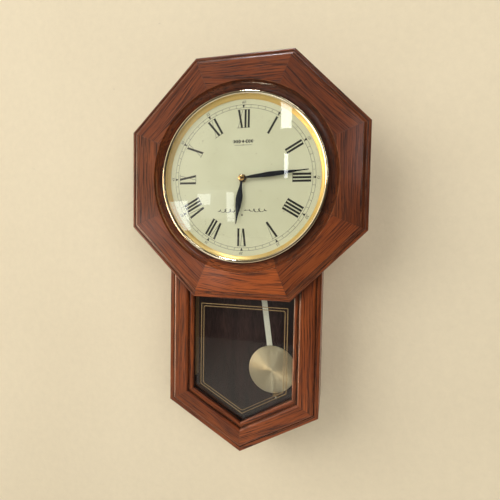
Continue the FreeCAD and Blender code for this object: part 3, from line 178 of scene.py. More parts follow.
class Finish:
    """One node material under construction."""

    def __init__(self, name):
        self.material = bpy.data.materials.new(name)
        self.material.use_nodes = True
        self.tree = self.material.node_tree
        self.tree.nodes.clear()
        self.output = self.tree.nodes.new("ShaderNodeOutputMaterial")

    def feed(self, socket, value):
        """Links another node's socket, or sets a plain value."""
        if isinstance(value, bpy.types.NodeSocket):
            self.tree.links.new(value, socket)
        else:
            socket.default_value = value

    def node(self, kind, inputs=None, **settings):
        item = self.tree.nodes.new(kind)
        for key, value in settings.items():
            setattr(item, key, value)
        for key, value in (inputs or {}).items():
            self.feed(item.inputs[key], value)
        return item

    def place(self, turn=(0, 0, 0), shift=(0, 0, 0)):
        """Row frame coordinates, turned and shifted."""
        where = self.node("ShaderNodeTexCoord").outputs["Object"]
        return self.node("ShaderNodeMapping", {
            "Vector": where, "Location": shift, "Rotation": [math.radians(a) for a in turn],
        }).outputs["Vector"]

    def stretch(self, where, scale):
        return self.node("ShaderNodeMapping", {"Vector": where, "Scale": scale}).outputs["Vector"]

    def noise(self, where, scale=1, detail=2, roughness=0.5):
        return self.node("ShaderNodeTexNoise", {
            "Vector": where, "Scale": scale, "Detail": detail, "Roughness": roughness,
        }).outputs["Fac"]

    def from_axis(self, where, centre):
        """Distance from an axis that runs front to back through the centre."""
        offset = self.node("ShaderNodeVectorMath", {0: where, 1: centre}, operation="SUBTRACT")
        flat = self.node("ShaderNodeVectorMath", {
            0: offset.outputs["Vector"], 1: (1, 0, 1)}, operation="MULTIPLY")
        return self.node("ShaderNodeVectorMath", {0: flat.outputs["Vector"]},
                         operation="LENGTH").outputs["Value"]

    def ramp(self, amount, *stops):
        """Colour or grey by position: each stop is (position, colour or grey)."""
        item = self.node("ShaderNodeValToRGB", {"Fac": amount})
        band = item.color_ramp
        while len(band.elements) < len(stops):
            band.elements.new(0.5)
        for element, (position, colour) in zip(band.elements, stops):
            element.position = position
            grey = (colour, colour, colour) if isinstance(colour, (int, float)) else colour
            element.color = (*grey, 1)
        return item.outputs["Color"]

    def math(self, operation, *values):
        item = self.node("ShaderNodeMath", operation=operation)
        for socket, value in zip(item.inputs, values):
            self.feed(socket, value)
        return item.outputs["Value"]

    def blend(self, amount, first, second, mode="MIX"):
        item = self.node("ShaderNodeMix", data_type="RGBA", blend_type=mode)
        for socket, value in ((item.inputs[0], amount), (item.inputs[6], first),
                              (item.inputs[7], second)):
            self.feed(socket, (*value, 1) if isinstance(value, tuple) else value)
        return item.outputs[2]

    def bump(self, height, depth, strength=1, normal=None):
        """Surface relief, its depth in metres."""
        inputs = {"Height": height, "Distance": depth, "Strength": strength}
        if normal:
            inputs["Normal"] = normal
        return self.node("ShaderNodeBump", inputs).outputs["Normal"]

    def rounded(self, radius):
        return self.node("ShaderNodeBevel", {"Radius": radius}, samples=6).outputs["Normal"]

    def surface(self, **inputs):
        """Principled shader to the output, inputs named with underscores for spaces."""
        named = {key.replace("_", " "): value for key, value in inputs.items()}
        shader = self.node("ShaderNodeBsdfPrincipled", named)
        self.tree.links.new(shader.outputs[0], self.output.inputs["Surface"])
        return self.material


OAK_LIGHT = (0.290, 0.070, 0.014)
OAK_MIDDLE = (0.205, 0.045, 0.009)
OAK_DARK = (0.130, 0.026, 0.006)
OAK_PORE = (0.020, 0.006, 0.003)
# Pale edge colour: rubbed wear, and also a painted highlight along the arrises.
OAK_WORN_AND_HIGHLIGHT = (0.520, 0.200, 0.075)


def off_mitres(finish, mitres):
    """0 on the mitre planes, given as (point, normal), rising to 1 a millimetre away."""
    where = finish.node("ShaderNodeTexCoord").outputs["Object"]
    clear = 1.0
    for point, normal in mitres:
        offset = finish.node("ShaderNodeVectorMath", {0: where, 1: point}, operation="SUBTRACT")
        reach = finish.node("ShaderNodeVectorMath", {0: offset.outputs["Vector"], 1: normal},
                            operation="DOT_PRODUCT").outputs["Value"]
        away = finish.math("MINIMUM", finish.math("MULTIPLY", finish.math("ABSOLUTE", reach), 900), 1)
        clear = finish.math("MULTIPLY", away, clear)
    return clear


def oak_figure(finish, grain):
    """Drifting colour, wandering growth bands, fine streaks and open pores."""
    drift = finish.noise(finish.stretch(grain, (5, 22, 22)), detail=4, roughness=0.6)
    sway = finish.noise(finish.stretch(grain, (4, 10, 10)), detail=2, roughness=0.5)
    aside = finish.node("ShaderNodeCombineXYZ", {"Z": finish.math("MULTIPLY", sway, 0.035)})
    bent = finish.node("ShaderNodeVectorMath", {0: grain, 1: aside.outputs[0]},
                       operation="ADD").outputs["Vector"]
    bands = finish.noise(finish.stretch(bent, (15, 860, 860)), detail=1, roughness=0.5)
    streaks = finish.noise(finish.stretch(bent, (26, 800, 800)), detail=3, roughness=0.65)
    pores = finish.noise(finish.stretch(bent, (60, 1300, 1300)), detail=2, roughness=0.5)
    ticks = finish.ramp(pores, (0.48, 0), (0.58, 1))
    early = finish.ramp(bands, (0.42, 1), (0.56, 0.2))
    return drift, bands, streaks, finish.math("MULTIPLY", ticks, early)


def oak_wear(finish, grain, soft):
    """1 where an edge is made pale, as rubbed wear and as a painted highlight along the arris, in
    patches, given the rounded normal.
    """
    sharp = finish.node("ShaderNodeNewGeometry").outputs["Normal"]
    edge = finish.node("ShaderNodeVectorMath", {0: soft, 1: sharp}, operation="DOT_PRODUCT")
    worn_and_highlight = finish.ramp(edge.outputs["Value"], (0.93, 1), (0.985, 0))
    patchy = finish.ramp(finish.noise(grain, 55, 3), (0.40, 0.05), (0.64, 0.85))
    return finish.math("MULTIPLY", worn_and_highlight, patchy)


def oak(name, turn, shift, tone, mitres=()):
    """Stained and varnished oak, pale on its edges as rubbed wear and painted highlight, with dark
    mitre joints and painted shade in its crevices.
    """
    finish = Finish(name)
    grain = finish.place(turn=(0, -turn, 0), shift=shift)
    drift, bands, streaks, pitted = oak_figure(finish, grain)

    colour = finish.ramp(drift, (0.28, OAK_DARK), (0.50, OAK_MIDDLE), (0.72, OAK_LIGHT))
    colour = finish.blend(1.0, colour, finish.ramp(bands, (0.38, 0.46), (0.49, 1.03)), "MULTIPLY")
    colour = finish.blend(1.0, colour, finish.ramp(streaks, (0.34, 0.78), (0.62, 1.12)), "MULTIPLY")
    colour = finish.blend(finish.math("MULTIPLY", pitted, 0.8), colour, OAK_PORE)
    # Overall brightness of this member, raised on the bottom rail as a painted sheen.
    colour = finish.blend(1.0, colour, (tone, tone, tone), "MULTIPLY")

    soft = finish.rounded(0.0010)
    worn_and_highlight = oak_wear(finish, grain, soft)
    if mitres:
        clear = off_mitres(finish, mitres)
        worn_and_highlight = finish.math("MULTIPLY", worn_and_highlight, clear)
        colour = finish.blend(1.0, colour, finish.ramp(clear, (0.0, 0.55), (0.6, 1.0)), "MULTIPLY")
    # Pale arrises: rubbed wear, and also a painted highlight.
    colour = finish.blend(worn_and_highlight, colour, OAK_WORN_AND_HIGHLIGHT)
    # Painted shade: the colour is darkened wherever ambient occlusion finds close surfaces, in the cove
    # round the dial, the grooves and the mouldings.
    occluded = finish.node("ShaderNodeAmbientOcclusion", {"Distance": 0.016}, samples=4)
    painted_shade = finish.ramp(occluded.outputs["AO"], (0.40, 0.07), (0.88, 1.0))
    colour = finish.blend(1.0, colour, painted_shade, "MULTIPLY")

    relief = finish.math("MULTIPLY_ADD", pitted, -1.0, finish.math("MULTIPLY", streaks, 0.5))
    rough = finish.math("MULTIPLY_ADD", pitted, 0.25, finish.math("MULTIPLY_ADD", drift, 0.18, 0.30))
    return finish.surface(
        Base_Color=colour, Roughness=rough, Normal=finish.bump(relief, 0.00022, 0.6, soft),
        Specular_IOR_Level=0.25, Coat_Weight=0.45, Coat_Roughness=0.16, Coat_IOR=1.5)


def plain_wood(name, turn, shift, light, dark):
    """Unvarnished wood of the hidden cleats."""
    finish = Finish(name)
    grain = finish.place(turn=(0, -turn, 0), shift=shift)
    drift = finish.noise(finish.stretch(grain, (5, 60, 60)), detail=4, roughness=0.6)
    streaks = finish.noise(finish.stretch(grain, (14, 700, 700)), detail=3, roughness=0.6)
    colour = finish.ramp(drift, (0.3, dark), (0.7, light))
    colour = finish.blend(0.8, colour, finish.ramp(streaks, (0.35, 0.65), (0.65, 1.1)), "MULTIPLY")
    return finish.surface(Base_Color=colour, Roughness=0.6,
                          Normal=finish.bump(streaks, 0.0002, 0.5))


def board(name, light, dark, flecks):
    """Pressed board with an upright figure printed on it."""
    finish = Finish(name)
    where = finish.place()
    drift = finish.noise(finish.stretch(where, (38, 38, 5)), detail=4, roughness=0.6)
    fibre = finish.noise(finish.stretch(where, (520, 520, 60)), detail=3, roughness=0.7)
    colour = finish.ramp(drift, (0.32, dark), (0.70, light))
    colour = finish.blend(flecks, colour, finish.ramp(fibre, (0.35, 0.45), (0.65, 1.3)), "MULTIPLY")
    return finish.surface(Base_Color=colour, Roughness=0.55, Normal=finish.bump(fibre, 0.0002, 0.5))


def metal(name, light, dark, rough, smear=0.12, scale=60, relief=0.0, grain=(1, 1, 1), shine=1.0):
    """Plated or bare metal with handling marks in its gloss."""
    finish = Finish(name)
    where = finish.stretch(finish.place(), grain)
    marks = finish.noise(where, scale, 4, 0.6)
    fine = finish.noise(where, scale * 16, 3, 0.6)
    colour = finish.ramp(marks, (0.3, dark), (0.7, light))
    gloss = finish.math("MULTIPLY_ADD", marks, smear, rough - smear / 2)
    gloss = finish.math("MULTIPLY_ADD", fine, smear * 0.6, gloss)
    inputs = {"Base_Color": colour, "Roughness": gloss, "Metallic": shine}
    if relief:
        inputs["Normal"] = finish.bump(fine, relief, 0.7)
    return finish.surface(**inputs)


def plastic(name, light, dark, rough=0.42):
    """Moulded plastic with a faint spark-eroded grain."""
    finish = Finish(name)
    where = finish.place()
    tone = finish.noise(where, 45, 3, 0.6)
    grit = finish.noise(where, 2600, 2, 0.6)
    colour = finish.ramp(tone, (0.3, dark), (0.7, light))
    gloss = finish.math("MULTIPLY_ADD", grit, 0.16, rough - 0.08)
    return finish.surface(Base_Color=colour, Roughness=gloss, Normal=finish.bump(grit, 0.00006, 0.6))


def clear_glass(name, tint, rough):
    """Thin clear glass: what is behind it shows unbent, under a mirror that grows to the edge."""
    finish = Finish(name)
    haze = finish.noise(finish.place(), 24, 4, 0.65)
    gloss = finish.math("MULTIPLY_ADD", haze, rough, rough)
    facing = finish.node("ShaderNodeLayerWeight", {"Blend": 0.5}).outputs["Facing"]
    share = finish.math("MULTIPLY_ADD", finish.math("POWER", facing, 5.0), 0.96, 0.04)
    clear = finish.node("ShaderNodeBsdfTransparent", {"Color": (*tint, 1)})
    mirror = finish.node("ShaderNodeBsdfGlossy", {"Color": (1, 1, 1, 1), "Roughness": gloss})
    mix = finish.node("ShaderNodeMixShader", {
        0: share, 1: clear.outputs[0], 2: mirror.outputs[0]})
    finish.tree.links.new(mix.outputs[0], finish.output.inputs["Surface"])
    return finish.material


def dial_paint():
    """Cream enamel with a gently drifting tone and a few specks."""
    finish = Finish("cream dial paint")
    where = finish.place()
    tone = finish.noise(where, 16, 4, 0.6)
    grit = finish.noise(where, 900, 2, 0.5)
    colour = finish.ramp(tone, (0.3, (0.685, 0.695, 0.490)), (0.7, (0.745, 0.760, 0.550)))
    specks = finish.ramp(finish.noise(where, 420, 1, 0.4), (0.745, 0), (0.77, 0.5))
    colour = finish.blend(specks, colour, (0.22, 0.17, 0.09))
    gloss = finish.math("MULTIPLY_ADD", grit, 0.2, 0.32)
    return finish.surface(Base_Color=colour, Roughness=gloss, Normal=finish.bump(grit, 0.00002, 0.4))


def turned_brass(name, light, dark, rough, anisotropy, centre, shine):
    """Brass spun in a lathe: fine rings, and highlights that fan out from the middle."""
    finish = Finish(name)
    where = finish.node("ShaderNodeTexCoord").outputs["Object"]
    radius = finish.from_axis(where, centre)
    reach = finish.node("ShaderNodeCombineXYZ", {"X": radius}).outputs[0]
    lines = finish.noise(reach, 1800, 3, 0.7)
    marks = finish.noise(where, 38, 4, 0.6)
    colour = finish.ramp(finish.math("MULTIPLY_ADD", lines, 0.7, finish.math("MULTIPLY", marks, 0.3)),
                         (0.35, dark), (0.65, light))
    gloss = finish.math("MULTIPLY_ADD", lines, 0.10, finish.math("MULTIPLY_ADD", marks, 0.04, rough))
    tangent = finish.node("ShaderNodeTangent", direction_type="RADIAL", axis="Y").outputs[0]
    return finish.surface(
        Base_Color=colour, Roughness=gloss, Metallic=shine, Anisotropic=anisotropy,
        Anisotropic_Rotation=0.25, Tangent=tangent, Normal=finish.bump(lines, 0.00001, 0.3))


def windings(name):
    """Enamelled copper wire laid side by side."""
    finish = Finish(name)
    where = finish.place()
    turns = finish.node("ShaderNodeTexWave", {
        "Vector": where, "Scale": 900, "Distortion": 0.6, "Detail": 1,
    }, bands_direction="DIAGONAL").outputs["Fac"]
    colour = finish.ramp(turns, (0.1, (0.16, 0.035, 0.012)), (0.7, (0.62, 0.20, 0.075)))
    return finish.surface(Base_Color=colour, Roughness=0.33, Metallic=0.85,
                          Normal=finish.bump(turns, 0.00008, 0.8))


def circuit_green():
    """Solder mask over copper tracks."""
    finish = Finish("green solder mask")
    where = finish.place()
    tracks = finish.node("ShaderNodeTexBrick", {
        "Vector": where, "Scale": 260, "Mortar Size": 0.045,
        "Color1": (0.012, 0.10, 0.035, 1), "Color2": (0.010, 0.085, 0.030, 1),
        "Mortar": (0.05, 0.22, 0.07, 1)}).outputs["Color"]
    grit = finish.noise(where, 700, 2)
    return finish.surface(Base_Color=tracks, Roughness=finish.math("MULTIPLY_ADD", grit, 0.2, 0.22),
                          Coat_Weight=0.3, Normal=finish.bump(grit, 0.00003, 0.4))


def cell_wrap():
    """Plain battery sleeve: dark with a copper-coloured band at one end."""
    finish = Finish("battery sleeve")
    where = finish.place()
    low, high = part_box("battery_cell")
    across = finish.node("ShaderNodeSeparateXYZ", {"Vector": where}).outputs["X"]
    share = finish.math("DIVIDE", finish.math("SUBTRACT", across, low.x), high.x - low.x)
    scuffs = finish.noise(finish.stretch(where, (60, 400, 400)), detail=3)
    colour = finish.ramp(share, (0.0, (0.55, 0.22, 0.07)), (0.30, (0.55, 0.22, 0.07)),
                         (0.31, (0.020, 0.020, 0.022)), (0.96, (0.020, 0.020, 0.022)),
                         (0.97, (0.6, 0.6, 0.6)))
    colour = finish.blend(0.4, colour, finish.ramp(scuffs, (0.3, 0.7), (0.7, 1.1)), "MULTIPLY")
    return finish.surface(Base_Color=colour, Metallic=0.6,
                          Roughness=finish.math("MULTIPLY_ADD", scuffs, 0.2, 0.2))


def speaker_black():
    """Pulp cone and pressed frame, ribbed round the middle."""
    finish = Finish("speaker black")
    low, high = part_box("speaker")
    where = finish.place()
    radius = finish.from_axis(where, (low + high) / 2)
    ribs = finish.math("SINE", finish.math("MULTIPLY", radius, 2400))
    pulp = finish.noise(where, 500, 3, 0.7)
    colour = finish.ramp(pulp, (0.3, (0.012, 0.012, 0.013)), (0.7, (0.040, 0.038, 0.036)))
    relief = finish.math("MULTIPLY_ADD", ribs, 0.5, pulp)
    return finish.surface(Base_Color=colour, Roughness=0.65, Normal=finish.bump(relief, 0.00025, 0.6))


def ink():
    """Matt printing ink, very slightly uneven."""
    finish = Finish("dial ink")
    cover = finish.noise(finish.place(), 900, 2)
    colour = finish.ramp(cover, (0.3, (0.006, 0.007, 0.006)), (0.75, (0.018, 0.019, 0.015)))
    return finish.surface(Base_Color=colour, Roughness=0.5)


def faint_ink():
    """The thin print of the ornament, the minute track and its figures."""
    finish = Finish("fine dial ink")
    cover = finish.noise(finish.place(), 1100, 2)
    colour = finish.ramp(cover, (0.3, (0.030, 0.032, 0.024)), (0.75, (0.075, 0.075, 0.055)))
    return finish.surface(Base_Color=colour, Roughness=0.5)


def hand_lacquer():
    """Blue-black lacquer on the hands."""
    finish = Finish("blue black lacquer")
    where = finish.place()
    marks = finish.noise(where, 90, 3)
    colour = finish.ramp(marks, (0.3, (0.004, 0.006, 0.010)), (0.7, (0.010, 0.015, 0.024)))
    gloss = finish.math("MULTIPLY_ADD", finish.noise(where, 900, 2), 0.12, 0.12)
    return finish.surface(Base_Color=colour, Roughness=gloss, Specular_IOR_Level=0.6,
                          Coat_Weight=0.6, Coat_Roughness=0.08)


def gold_line(name):
    """Gold line printed on the back of the window glass."""
    finish = Finish(name)
    wear = finish.noise(finish.place(), 320, 4, 0.7)
    colour = finish.ramp(wear, (0.3, (0.40, 0.26, 0.115)), (0.7, (0.58, 0.39, 0.19)))
    return finish.surface(Base_Color=colour, Metallic=0.25,
                          Roughness=finish.math("MULTIPLY_ADD", wear, 0.2, 0.36))


# ---------------------------------------------------------------- carried-over nodes

def paint(material, *names):
    """The material on every slot of the named CAD nodes."""
    for name in names:
        slots = NODES[name].data.materials
        for index in range(len(slots)):
            slots[index] = material


# Brightness of each octagon rail; the bottom rail's 1.55 is a painted sheen, standing in for the light
# it reflects.
RAIL_TONES_AND_SHEEN = (0.85, 0.72, 0.72, 0.95, 1.55, 1.05, 0.78, 0.90)  # from the top rail, clockwise


def mitre_plane(x, z, lean):
    """Upright plane through a point in the row frame, leaning from the vertical by an angle."""
    lean = math.radians(lean)
    return ((x, 0, z), (math.cos(lean), 0, -math.sin(lean)))


def paint_wood():
    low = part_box("drop_stile_left")[0]
    left_corner = mitre_plane(low.x, low.z, 60)
    right_corner = mitre_plane(2 * AXIS_X - low.x, low.z, -60)
    tip = mitre_plane(AXIS_X, low.z, 0)
    for number, tone in enumerate(RAIL_TONES_AND_SHEEN, 1):
        turn = 45 * (number - 1)
        shift = (0.37 * number, 0.05 * number, 0.23 * number)
        ends = [mitre_plane(AXIS_X, AXIS_Z, turn + side) for side in (-22.5, 22.5)]
        paint(oak(f"oak rail {number}", turn, shift, tone, ends), f"octagon_rail_{number}")
    members = {
        "drop_stile_left": (90, 1.15, [left_corner]), "drop_stile_right": (90, 1.05, [right_corner]),
        "drop_rail_left": (30, 1.0, [left_corner, tip]),
        "drop_rail_right": (-30, 1.15, [right_corner, tip]),
        "case_side_left": (90, 0.85, []), "case_side_right": (90, 0.85, []),
        "case_bottom_left": (30, 0.8, []), "case_bottom_right": (-30, 0.8, []),
        "case_top": (0, 0.85, []),
    }
    for order, (name, (turn, tone, ends)) in enumerate(members.items()):
        shift = (0.61 * order, 0.31 * order, 0.17 * order)
        paint(oak(f"oak {name}", turn, shift, tone, ends), name)
    pine = (0.42, 0.25, 0.11), (0.27, 0.15, 0.065)
    paint(plain_wood("plain hanger cleat", 0, (0.2, 0, 0), *pine), "hanger_cleat")
    paint(plain_wood("plain cleats", 90, (0.9, 0, 0), *pine), "back_cleats")
    paint(board("dark back board", (0.080, 0.036, 0.032), (0.032, 0.015, 0.015), 0.9), "back_board")


def paint_works():
    steel = metal("zinc steel", (0.62, 0.60, 0.55), (0.42, 0.41, 0.38), 0.34, relief=0.00002)
    nickel = metal("nickel", (0.72, 0.69, 0.62), (0.55, 0.52, 0.47), 0.22)
    brass = metal("machined brass", (0.72, 0.50, 0.20), (0.55, 0.36, 0.13), 0.28)
    grey = plastic("movement plastic", (0.045, 0.045, 0.047), (0.030, 0.030, 0.032))
    white = plastic("acetal wheels", (0.70, 0.68, 0.60), (0.58, 0.56, 0.50), 0.35)
    paint(steel, "wood_screws", "bezel_screws", "hanger_plate", "motor_stator")
    paint(brass, "centre_nut", "minute_arbor", "hour_wheel", "rating_nut")
    paint(nickel, "battery_contacts")
    paint(grey, "movement_front", "movement_rear", "battery_cover", "set_knob",
          "pendulum_bracket", "pendulum_carrier")
    paint(white, "movement_plate", "minute_wheel", "fifth_wheel", "seconds_wheel",
          "third_wheel", "centre_wheel")
    paint(metal("ferrite", (0.07, 0.065, 0.065), (0.04, 0.04, 0.04), 0.4), "rotor", "drive_magnet")
    paint(windings("copper windings"), "motor_coil", "drive_coil")
    paint(circuit_green(), "circuit_board")
    paint(cell_wrap(), "battery_cell")
    paint(speaker_black(), "speaker")
    paint(plastic("black rubber", (0.020, 0.020, 0.020), (0.012, 0.012, 0.012), 0.6),
          "glazing_gasket")
    paint(metal("brushed brass", (1.0, 1.0, 0.88), (0.95, 0.94, 0.79), 0.42, grain=(1, 1, 0.05),
                shine=0.5),
          "pendulum_rod")
    paint(plastic("bob backing", (0.05, 0.04, 0.03), (0.03, 0.025, 0.02), 0.5), "bob_back")
    paint(dial_paint(), "dial_plate")
    paint(clear_glass("window glass", (0.97, 0.98, 0.97), 0.03), "window_glass")


# ---------------------------------------------------------------- dial

INK_THICK = 0.05
INK_FRONT = DIAL_DEPTH - INK_THICK
NUMERAL_IN, NUMERAL_OUT = 71.0, 96.0
STROKE, HAIRLINE = 3.0, 0.5
PITCH = 4.65
X_THICK_LEAN, X_THIN_LEAN = 2.4, 3.2
V_HALF = 3.2
HOURS = ("XII", "I", "II", "III", "IIII", "V", "VI", "VII", "VIII", "IX", "X", "XI")
TRACK_IN, TRACK_OUT = 98.6, 102.8
TRACK_LINE = 0.42
FIGURE_REACH, FIGURE_SIZE = 106.2, 5.4


def ink_patch(shape, corners, turn):
    """Flat print at a clock angle, each corner (across, out)."""
    shape.prism([polar(across, out, turn) for across, out in corners], INK_FRONT, DIAL_DEPTH)


def ink_line(shape, start, end, width, turn):
    """Straight stroke at a clock angle, each end (across, out)."""
    (a, b), (c, d) = start, end
    half = width / 2
    ink_patch(shape, ((a - half, b), (a + half, b), (c + half, d), (c - half, d)), turn)


def serif(shape, left, right, out, turn):
    """Hairline across the ends of a numeral's strokes."""
    half = HAIRLINE / 2
    ink_patch(shape, ((left, out - half), (right, out - half), (right, out + half),
                      (left, out + half)), turn)


def numeral_strokes(letters):
    """Strokes as (inner end, outer end, width), and where they meet the inner and outer serifs."""
    strokes, edge, inner, outer = [], 0.0, [], []
    half = STROKE / 2
    for letter in letters:
        if letter == "I":
            at = edge + half
            strokes.append((at, at, STROKE))
            inner.append(at)
            outer.append(at)
            edge += PITCH
        elif letter == "V":
            at = edge + half + V_HALF
            strokes.append((at - 0.3, at - V_HALF, STROKE))
            strokes.append((at + 0.6, at + V_HALF, HAIRLINE))
            outer += [at - V_HALF, at + V_HALF]
            edge += 2 * V_HALF + PITCH * 0.75
        else:
            at = edge + half + X_THIN_LEAN
            strokes.append((at + X_THICK_LEAN, at - X_THICK_LEAN, STROKE))
            strokes.append((at - X_THIN_LEAN, at + X_THIN_LEAN, HAIRLINE))
            inner += [at - X_THIN_LEAN, at + X_THICK_LEAN]
            outer += [at - X_THICK_LEAN, at + X_THIN_LEAN]
            edge += 2 * X_THIN_LEAN + PITCH * 0.9
    return strokes, inner, outer


def draw_numeral(shape, letters, turn):
    strokes, inner, outer = numeral_strokes(letters)
    middle = (min(inner + outer) + max(inner + outer)) / 2
    overhang = STROKE / 2 + 0.45
    for near, far, width in strokes:
        ink_line(shape, (near - middle, NUMERAL_IN), (far - middle, NUMERAL_OUT), width, turn)
    for ends, reach in ((inner, NUMERAL_IN), (outer, NUMERAL_OUT)):
        if ends:
            serif(shape, min(ends) - middle - overhang, max(ends) - middle + overhang, reach, turn)


def dial_print():
    heavy = Shape()
    for hour, letters in enumerate(HOURS):
        draw_numeral(heavy, letters, 30 * hour)
    for minute in range(0, 60, 5):
        ink_patch(heavy, ((-1.9, TRACK_OUT), (1.9, TRACK_OUT), (0, TRACK_IN - 0.6)), 6 * minute)
    heavy.make("dial_numerals", "clock", ink())

    fine = Shape()
    for radius in (TRACK_IN, TRACK_OUT):
        inner, outer = radius - TRACK_LINE / 2, radius + TRACK_LINE / 2
        fine.lathe([(inner, INK_FRONT), (outer, INK_FRONT), (outer, DIAL_DEPTH),
                    (inner, DIAL_DEPTH)])
    for minute in range(60):
        if minute % 5:
            ink_line(fine, (0, TRACK_IN), (0, TRACK_OUT), TRACK_LINE, 6 * minute)
    fine.make("dial_minute_track", "clock", faint_ink())


def dial_figures():
    """Small minute figures outside the track, their heads outwards."""
    work = bmesh.new()
    for minute in range(5, 65, 5):
        text = bpy.data.curves.new("figure", "FONT")
        text.body = str(minute)
        text.size = FIGURE_SIZE * MM
        text.align_x = "CENTER"
        text.align_y = "CENTER"
        text.shear = 0.25
        text.extrude = INK_THICK / 2 * MM
        holder = bpy.data.objects.new("figure", text)
        mesh = bpy.data.meshes.new_from_object(holder)
        x, z = polar(0, FIGURE_REACH, 6 * minute)
        stand = Matrix.Rotation(math.radians(90), 4, "X")
        turn = Matrix.Rotation(math.radians(6 * minute), 4, "Y")
        mesh.transform(Matrix.Translation(spot(x, z, DIAL_DEPTH - INK_THICK / 2)) @ turn @ stand)
        work.from_mesh(mesh)
        bpy.data.objects.remove(holder)
        bpy.data.curves.remove(text)
        bpy.data.meshes.remove(mesh)
    bmesh.ops.remove_doubles(work, verts=work.verts, dist=1e-7)
    mesh = bpy.data.meshes.new("dial_minute_figures")
    work.to_mesh(mesh)
    work.free()
    piece = bpy.data.objects.new("dial_minute_figures", mesh)
    bpy.context.scene.collection.objects.link(piece)
    place(piece, "clock", faint_ink())


UPPER_ORNAMENT, UPPER_RULE, LOWER_ORNAMENT = 52, 46.9, -45.4  # heights over the hands' axis


def leaf_spray(scroll):
    """Pairs of leaves either side of a lozenge, over a thin rule."""
    for side in (-1, 1):
        for root, reach, rise in ((3.2, 7.0, 2.2), (6.8, 10.6, 1.9), (10.2, 14.6, 1.6)):
            for lift in (-1, 1):
                line, widths = [], []
                for step in range(13):
                    t = step / 12
                    line.append((side * (root + (reach - root) * t),
                                 UPPER_ORNAMENT + lift * rise * math.sin(math.pi * 0.5 * t)))
                    widths.append(0.3 + 1.35 * math.sin(math.pi * t))
                scroll.strip(line, widths, INK_FRONT, DIAL_DEPTH)
        stem = [(side * 2.6, UPPER_ORNAMENT), (side * 16.0, UPPER_ORNAMENT)]
        scroll.strip(stem, [0.6, 0.4], INK_FRONT, DIAL_DEPTH)
    scroll.prism([(0, UPPER_ORNAMENT + 2.6), (2.0, UPPER_ORNAMENT), (0, UPPER_ORNAMENT - 2.6),
                  (-2.0, UPPER_ORNAMENT)], INK_FRONT, DIAL_DEPTH)
    scroll.strip([(-12.5, UPPER_RULE), (12.5, UPPER_RULE)], [0.5, 0.5], INK_FRONT, DIAL_DEPTH)
    scroll.prism([(0, UPPER_RULE + 1.0), (1.0, UPPER_RULE), (0, UPPER_RULE - 1.0),
                  (-1.0, UPPER_RULE)], INK_FRONT, DIAL_DEPTH)


def looped_flourish(scroll):
    """Running line of loops to each side, and a drop below its middle."""
    for side in (-1, 1):
        line, widths = [], []
        for step in range(181):
            t = step / 180
            swing = math.sin(math.pi * min(1, 1.12 - t))
            loops = 2 * math.pi * 4.5 * t
            line.append((side * (3.0 + 33.0 * t - 2.3 * math.sin(loops) * swing),
                         LOWER_ORNAMENT + side * 0.5 + 2.5 * swing * math.cos(loops)))
            widths.append(0.60 + 0.85 * max(0.0, math.sin(loops)))
        scroll.strip(line, widths, INK_FRONT, DIAL_DEPTH)
    scroll.prism([(0, -50.0), (1.5, -51.7), (0, -53.4), (-1.5, -51.7)], INK_FRONT, DIAL_DEPTH)


def dial_ornament():
    """Scrollwork above and below the hands, in place of any name."""
    scroll = Shape()
    leaf_spray(scroll)
    looped_flourish(scroll)
    scroll.make("dial_scrollwork", "clock", faint_ink())


# ---------------------------------------------------------------- bezel and crystal

BEZEL_IN, BEZEL_OUT = 115.4, 120.0
CRYSTAL_RADIUS, CRYSTAL_RIM, CRYSTAL_RISE, CRYSTAL_THICK = 116.5, 2.0, 14.0, 2.0


def bezel():
    """Rolled and polished brass rim."""
    low_edge = 9.9
    profile = [(BEZEL_OUT, low_edge), (BEZEL_OUT, 1.6)]
    profile += arc((BEZEL_OUT, 1.5), (BEZEL_OUT - 1.5, 0.02), 1.5, 8, bulge=-1)
    profile += [(118.0, 0.0), (117.4, 0.02)]
    profile += arc((117.3, 0.05), (BEZEL_IN, 1.3), 2.6, 8, bulge=-1)
    profile += [(BEZEL_IN, 1.55), (117.0, 1.95), (117.0, low_edge)]
    shape = Shape()
    shape.lathe(profile, steps=ROUND * 2)
    polished = metal("polished brass", (0.95, 0.84, 0.60), (0.88, 0.74, 0.48), 0.07, 0.05, 30)
    shape.make("bezel_rim", "clock", polished, ["bezel_ring"], smooth=40)


def crystal():
    sphere = (CRYSTAL_RADIUS ** 2 + CRYSTAL_RISE ** 2) / (2 * CRYSTAL_RISE)
    rings = 40
    shape = Shape()
    profile = []
    for layer in (0, CRYSTAL_THICK):
        points = []
        for step in range(rings + 1):
            radius = max(CRYSTAL_RADIUS * step / rings, 1e-3)
            sag = sphere - math.sqrt(sphere ** 2 - radius ** 2)
            points.append((radius, CRYSTAL_RIM - CRYSTAL_RISE + sag + layer))
        profile += points if layer == 0 else points[::-1]
    shape.lathe(profile)
    glass = clear_glass("crystal glass", (0.985, 0.99, 0.985), 0.02)
    shape.make("crystal_dome", "clock", glass, ["crystal"], smooth=50)


def reflector():
    """Sloped gilt ring between the bezel and the dial."""
    profile = arc((110.5, 8.4), (116.3, 4.4), 14, 12, bulge=1)
    profile += [(116.9, 4.4), (116.9, 8.98), (110.5, 8.98)]
    shape = Shape()
    shape.lathe(profile)
    low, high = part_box("reflector_ring")
    gilt = turned_brass("satin gilt", (0.95, 0.70, 0.27), (0.86, 0.60, 0.20), 0.26, 0.3,
                        (low + high) / 2, 0.7)
    shape.make("reflector_slope", "clock", gilt, ["reflector_ring"], smooth=40)


# ---------------------------------------------------------------- hands

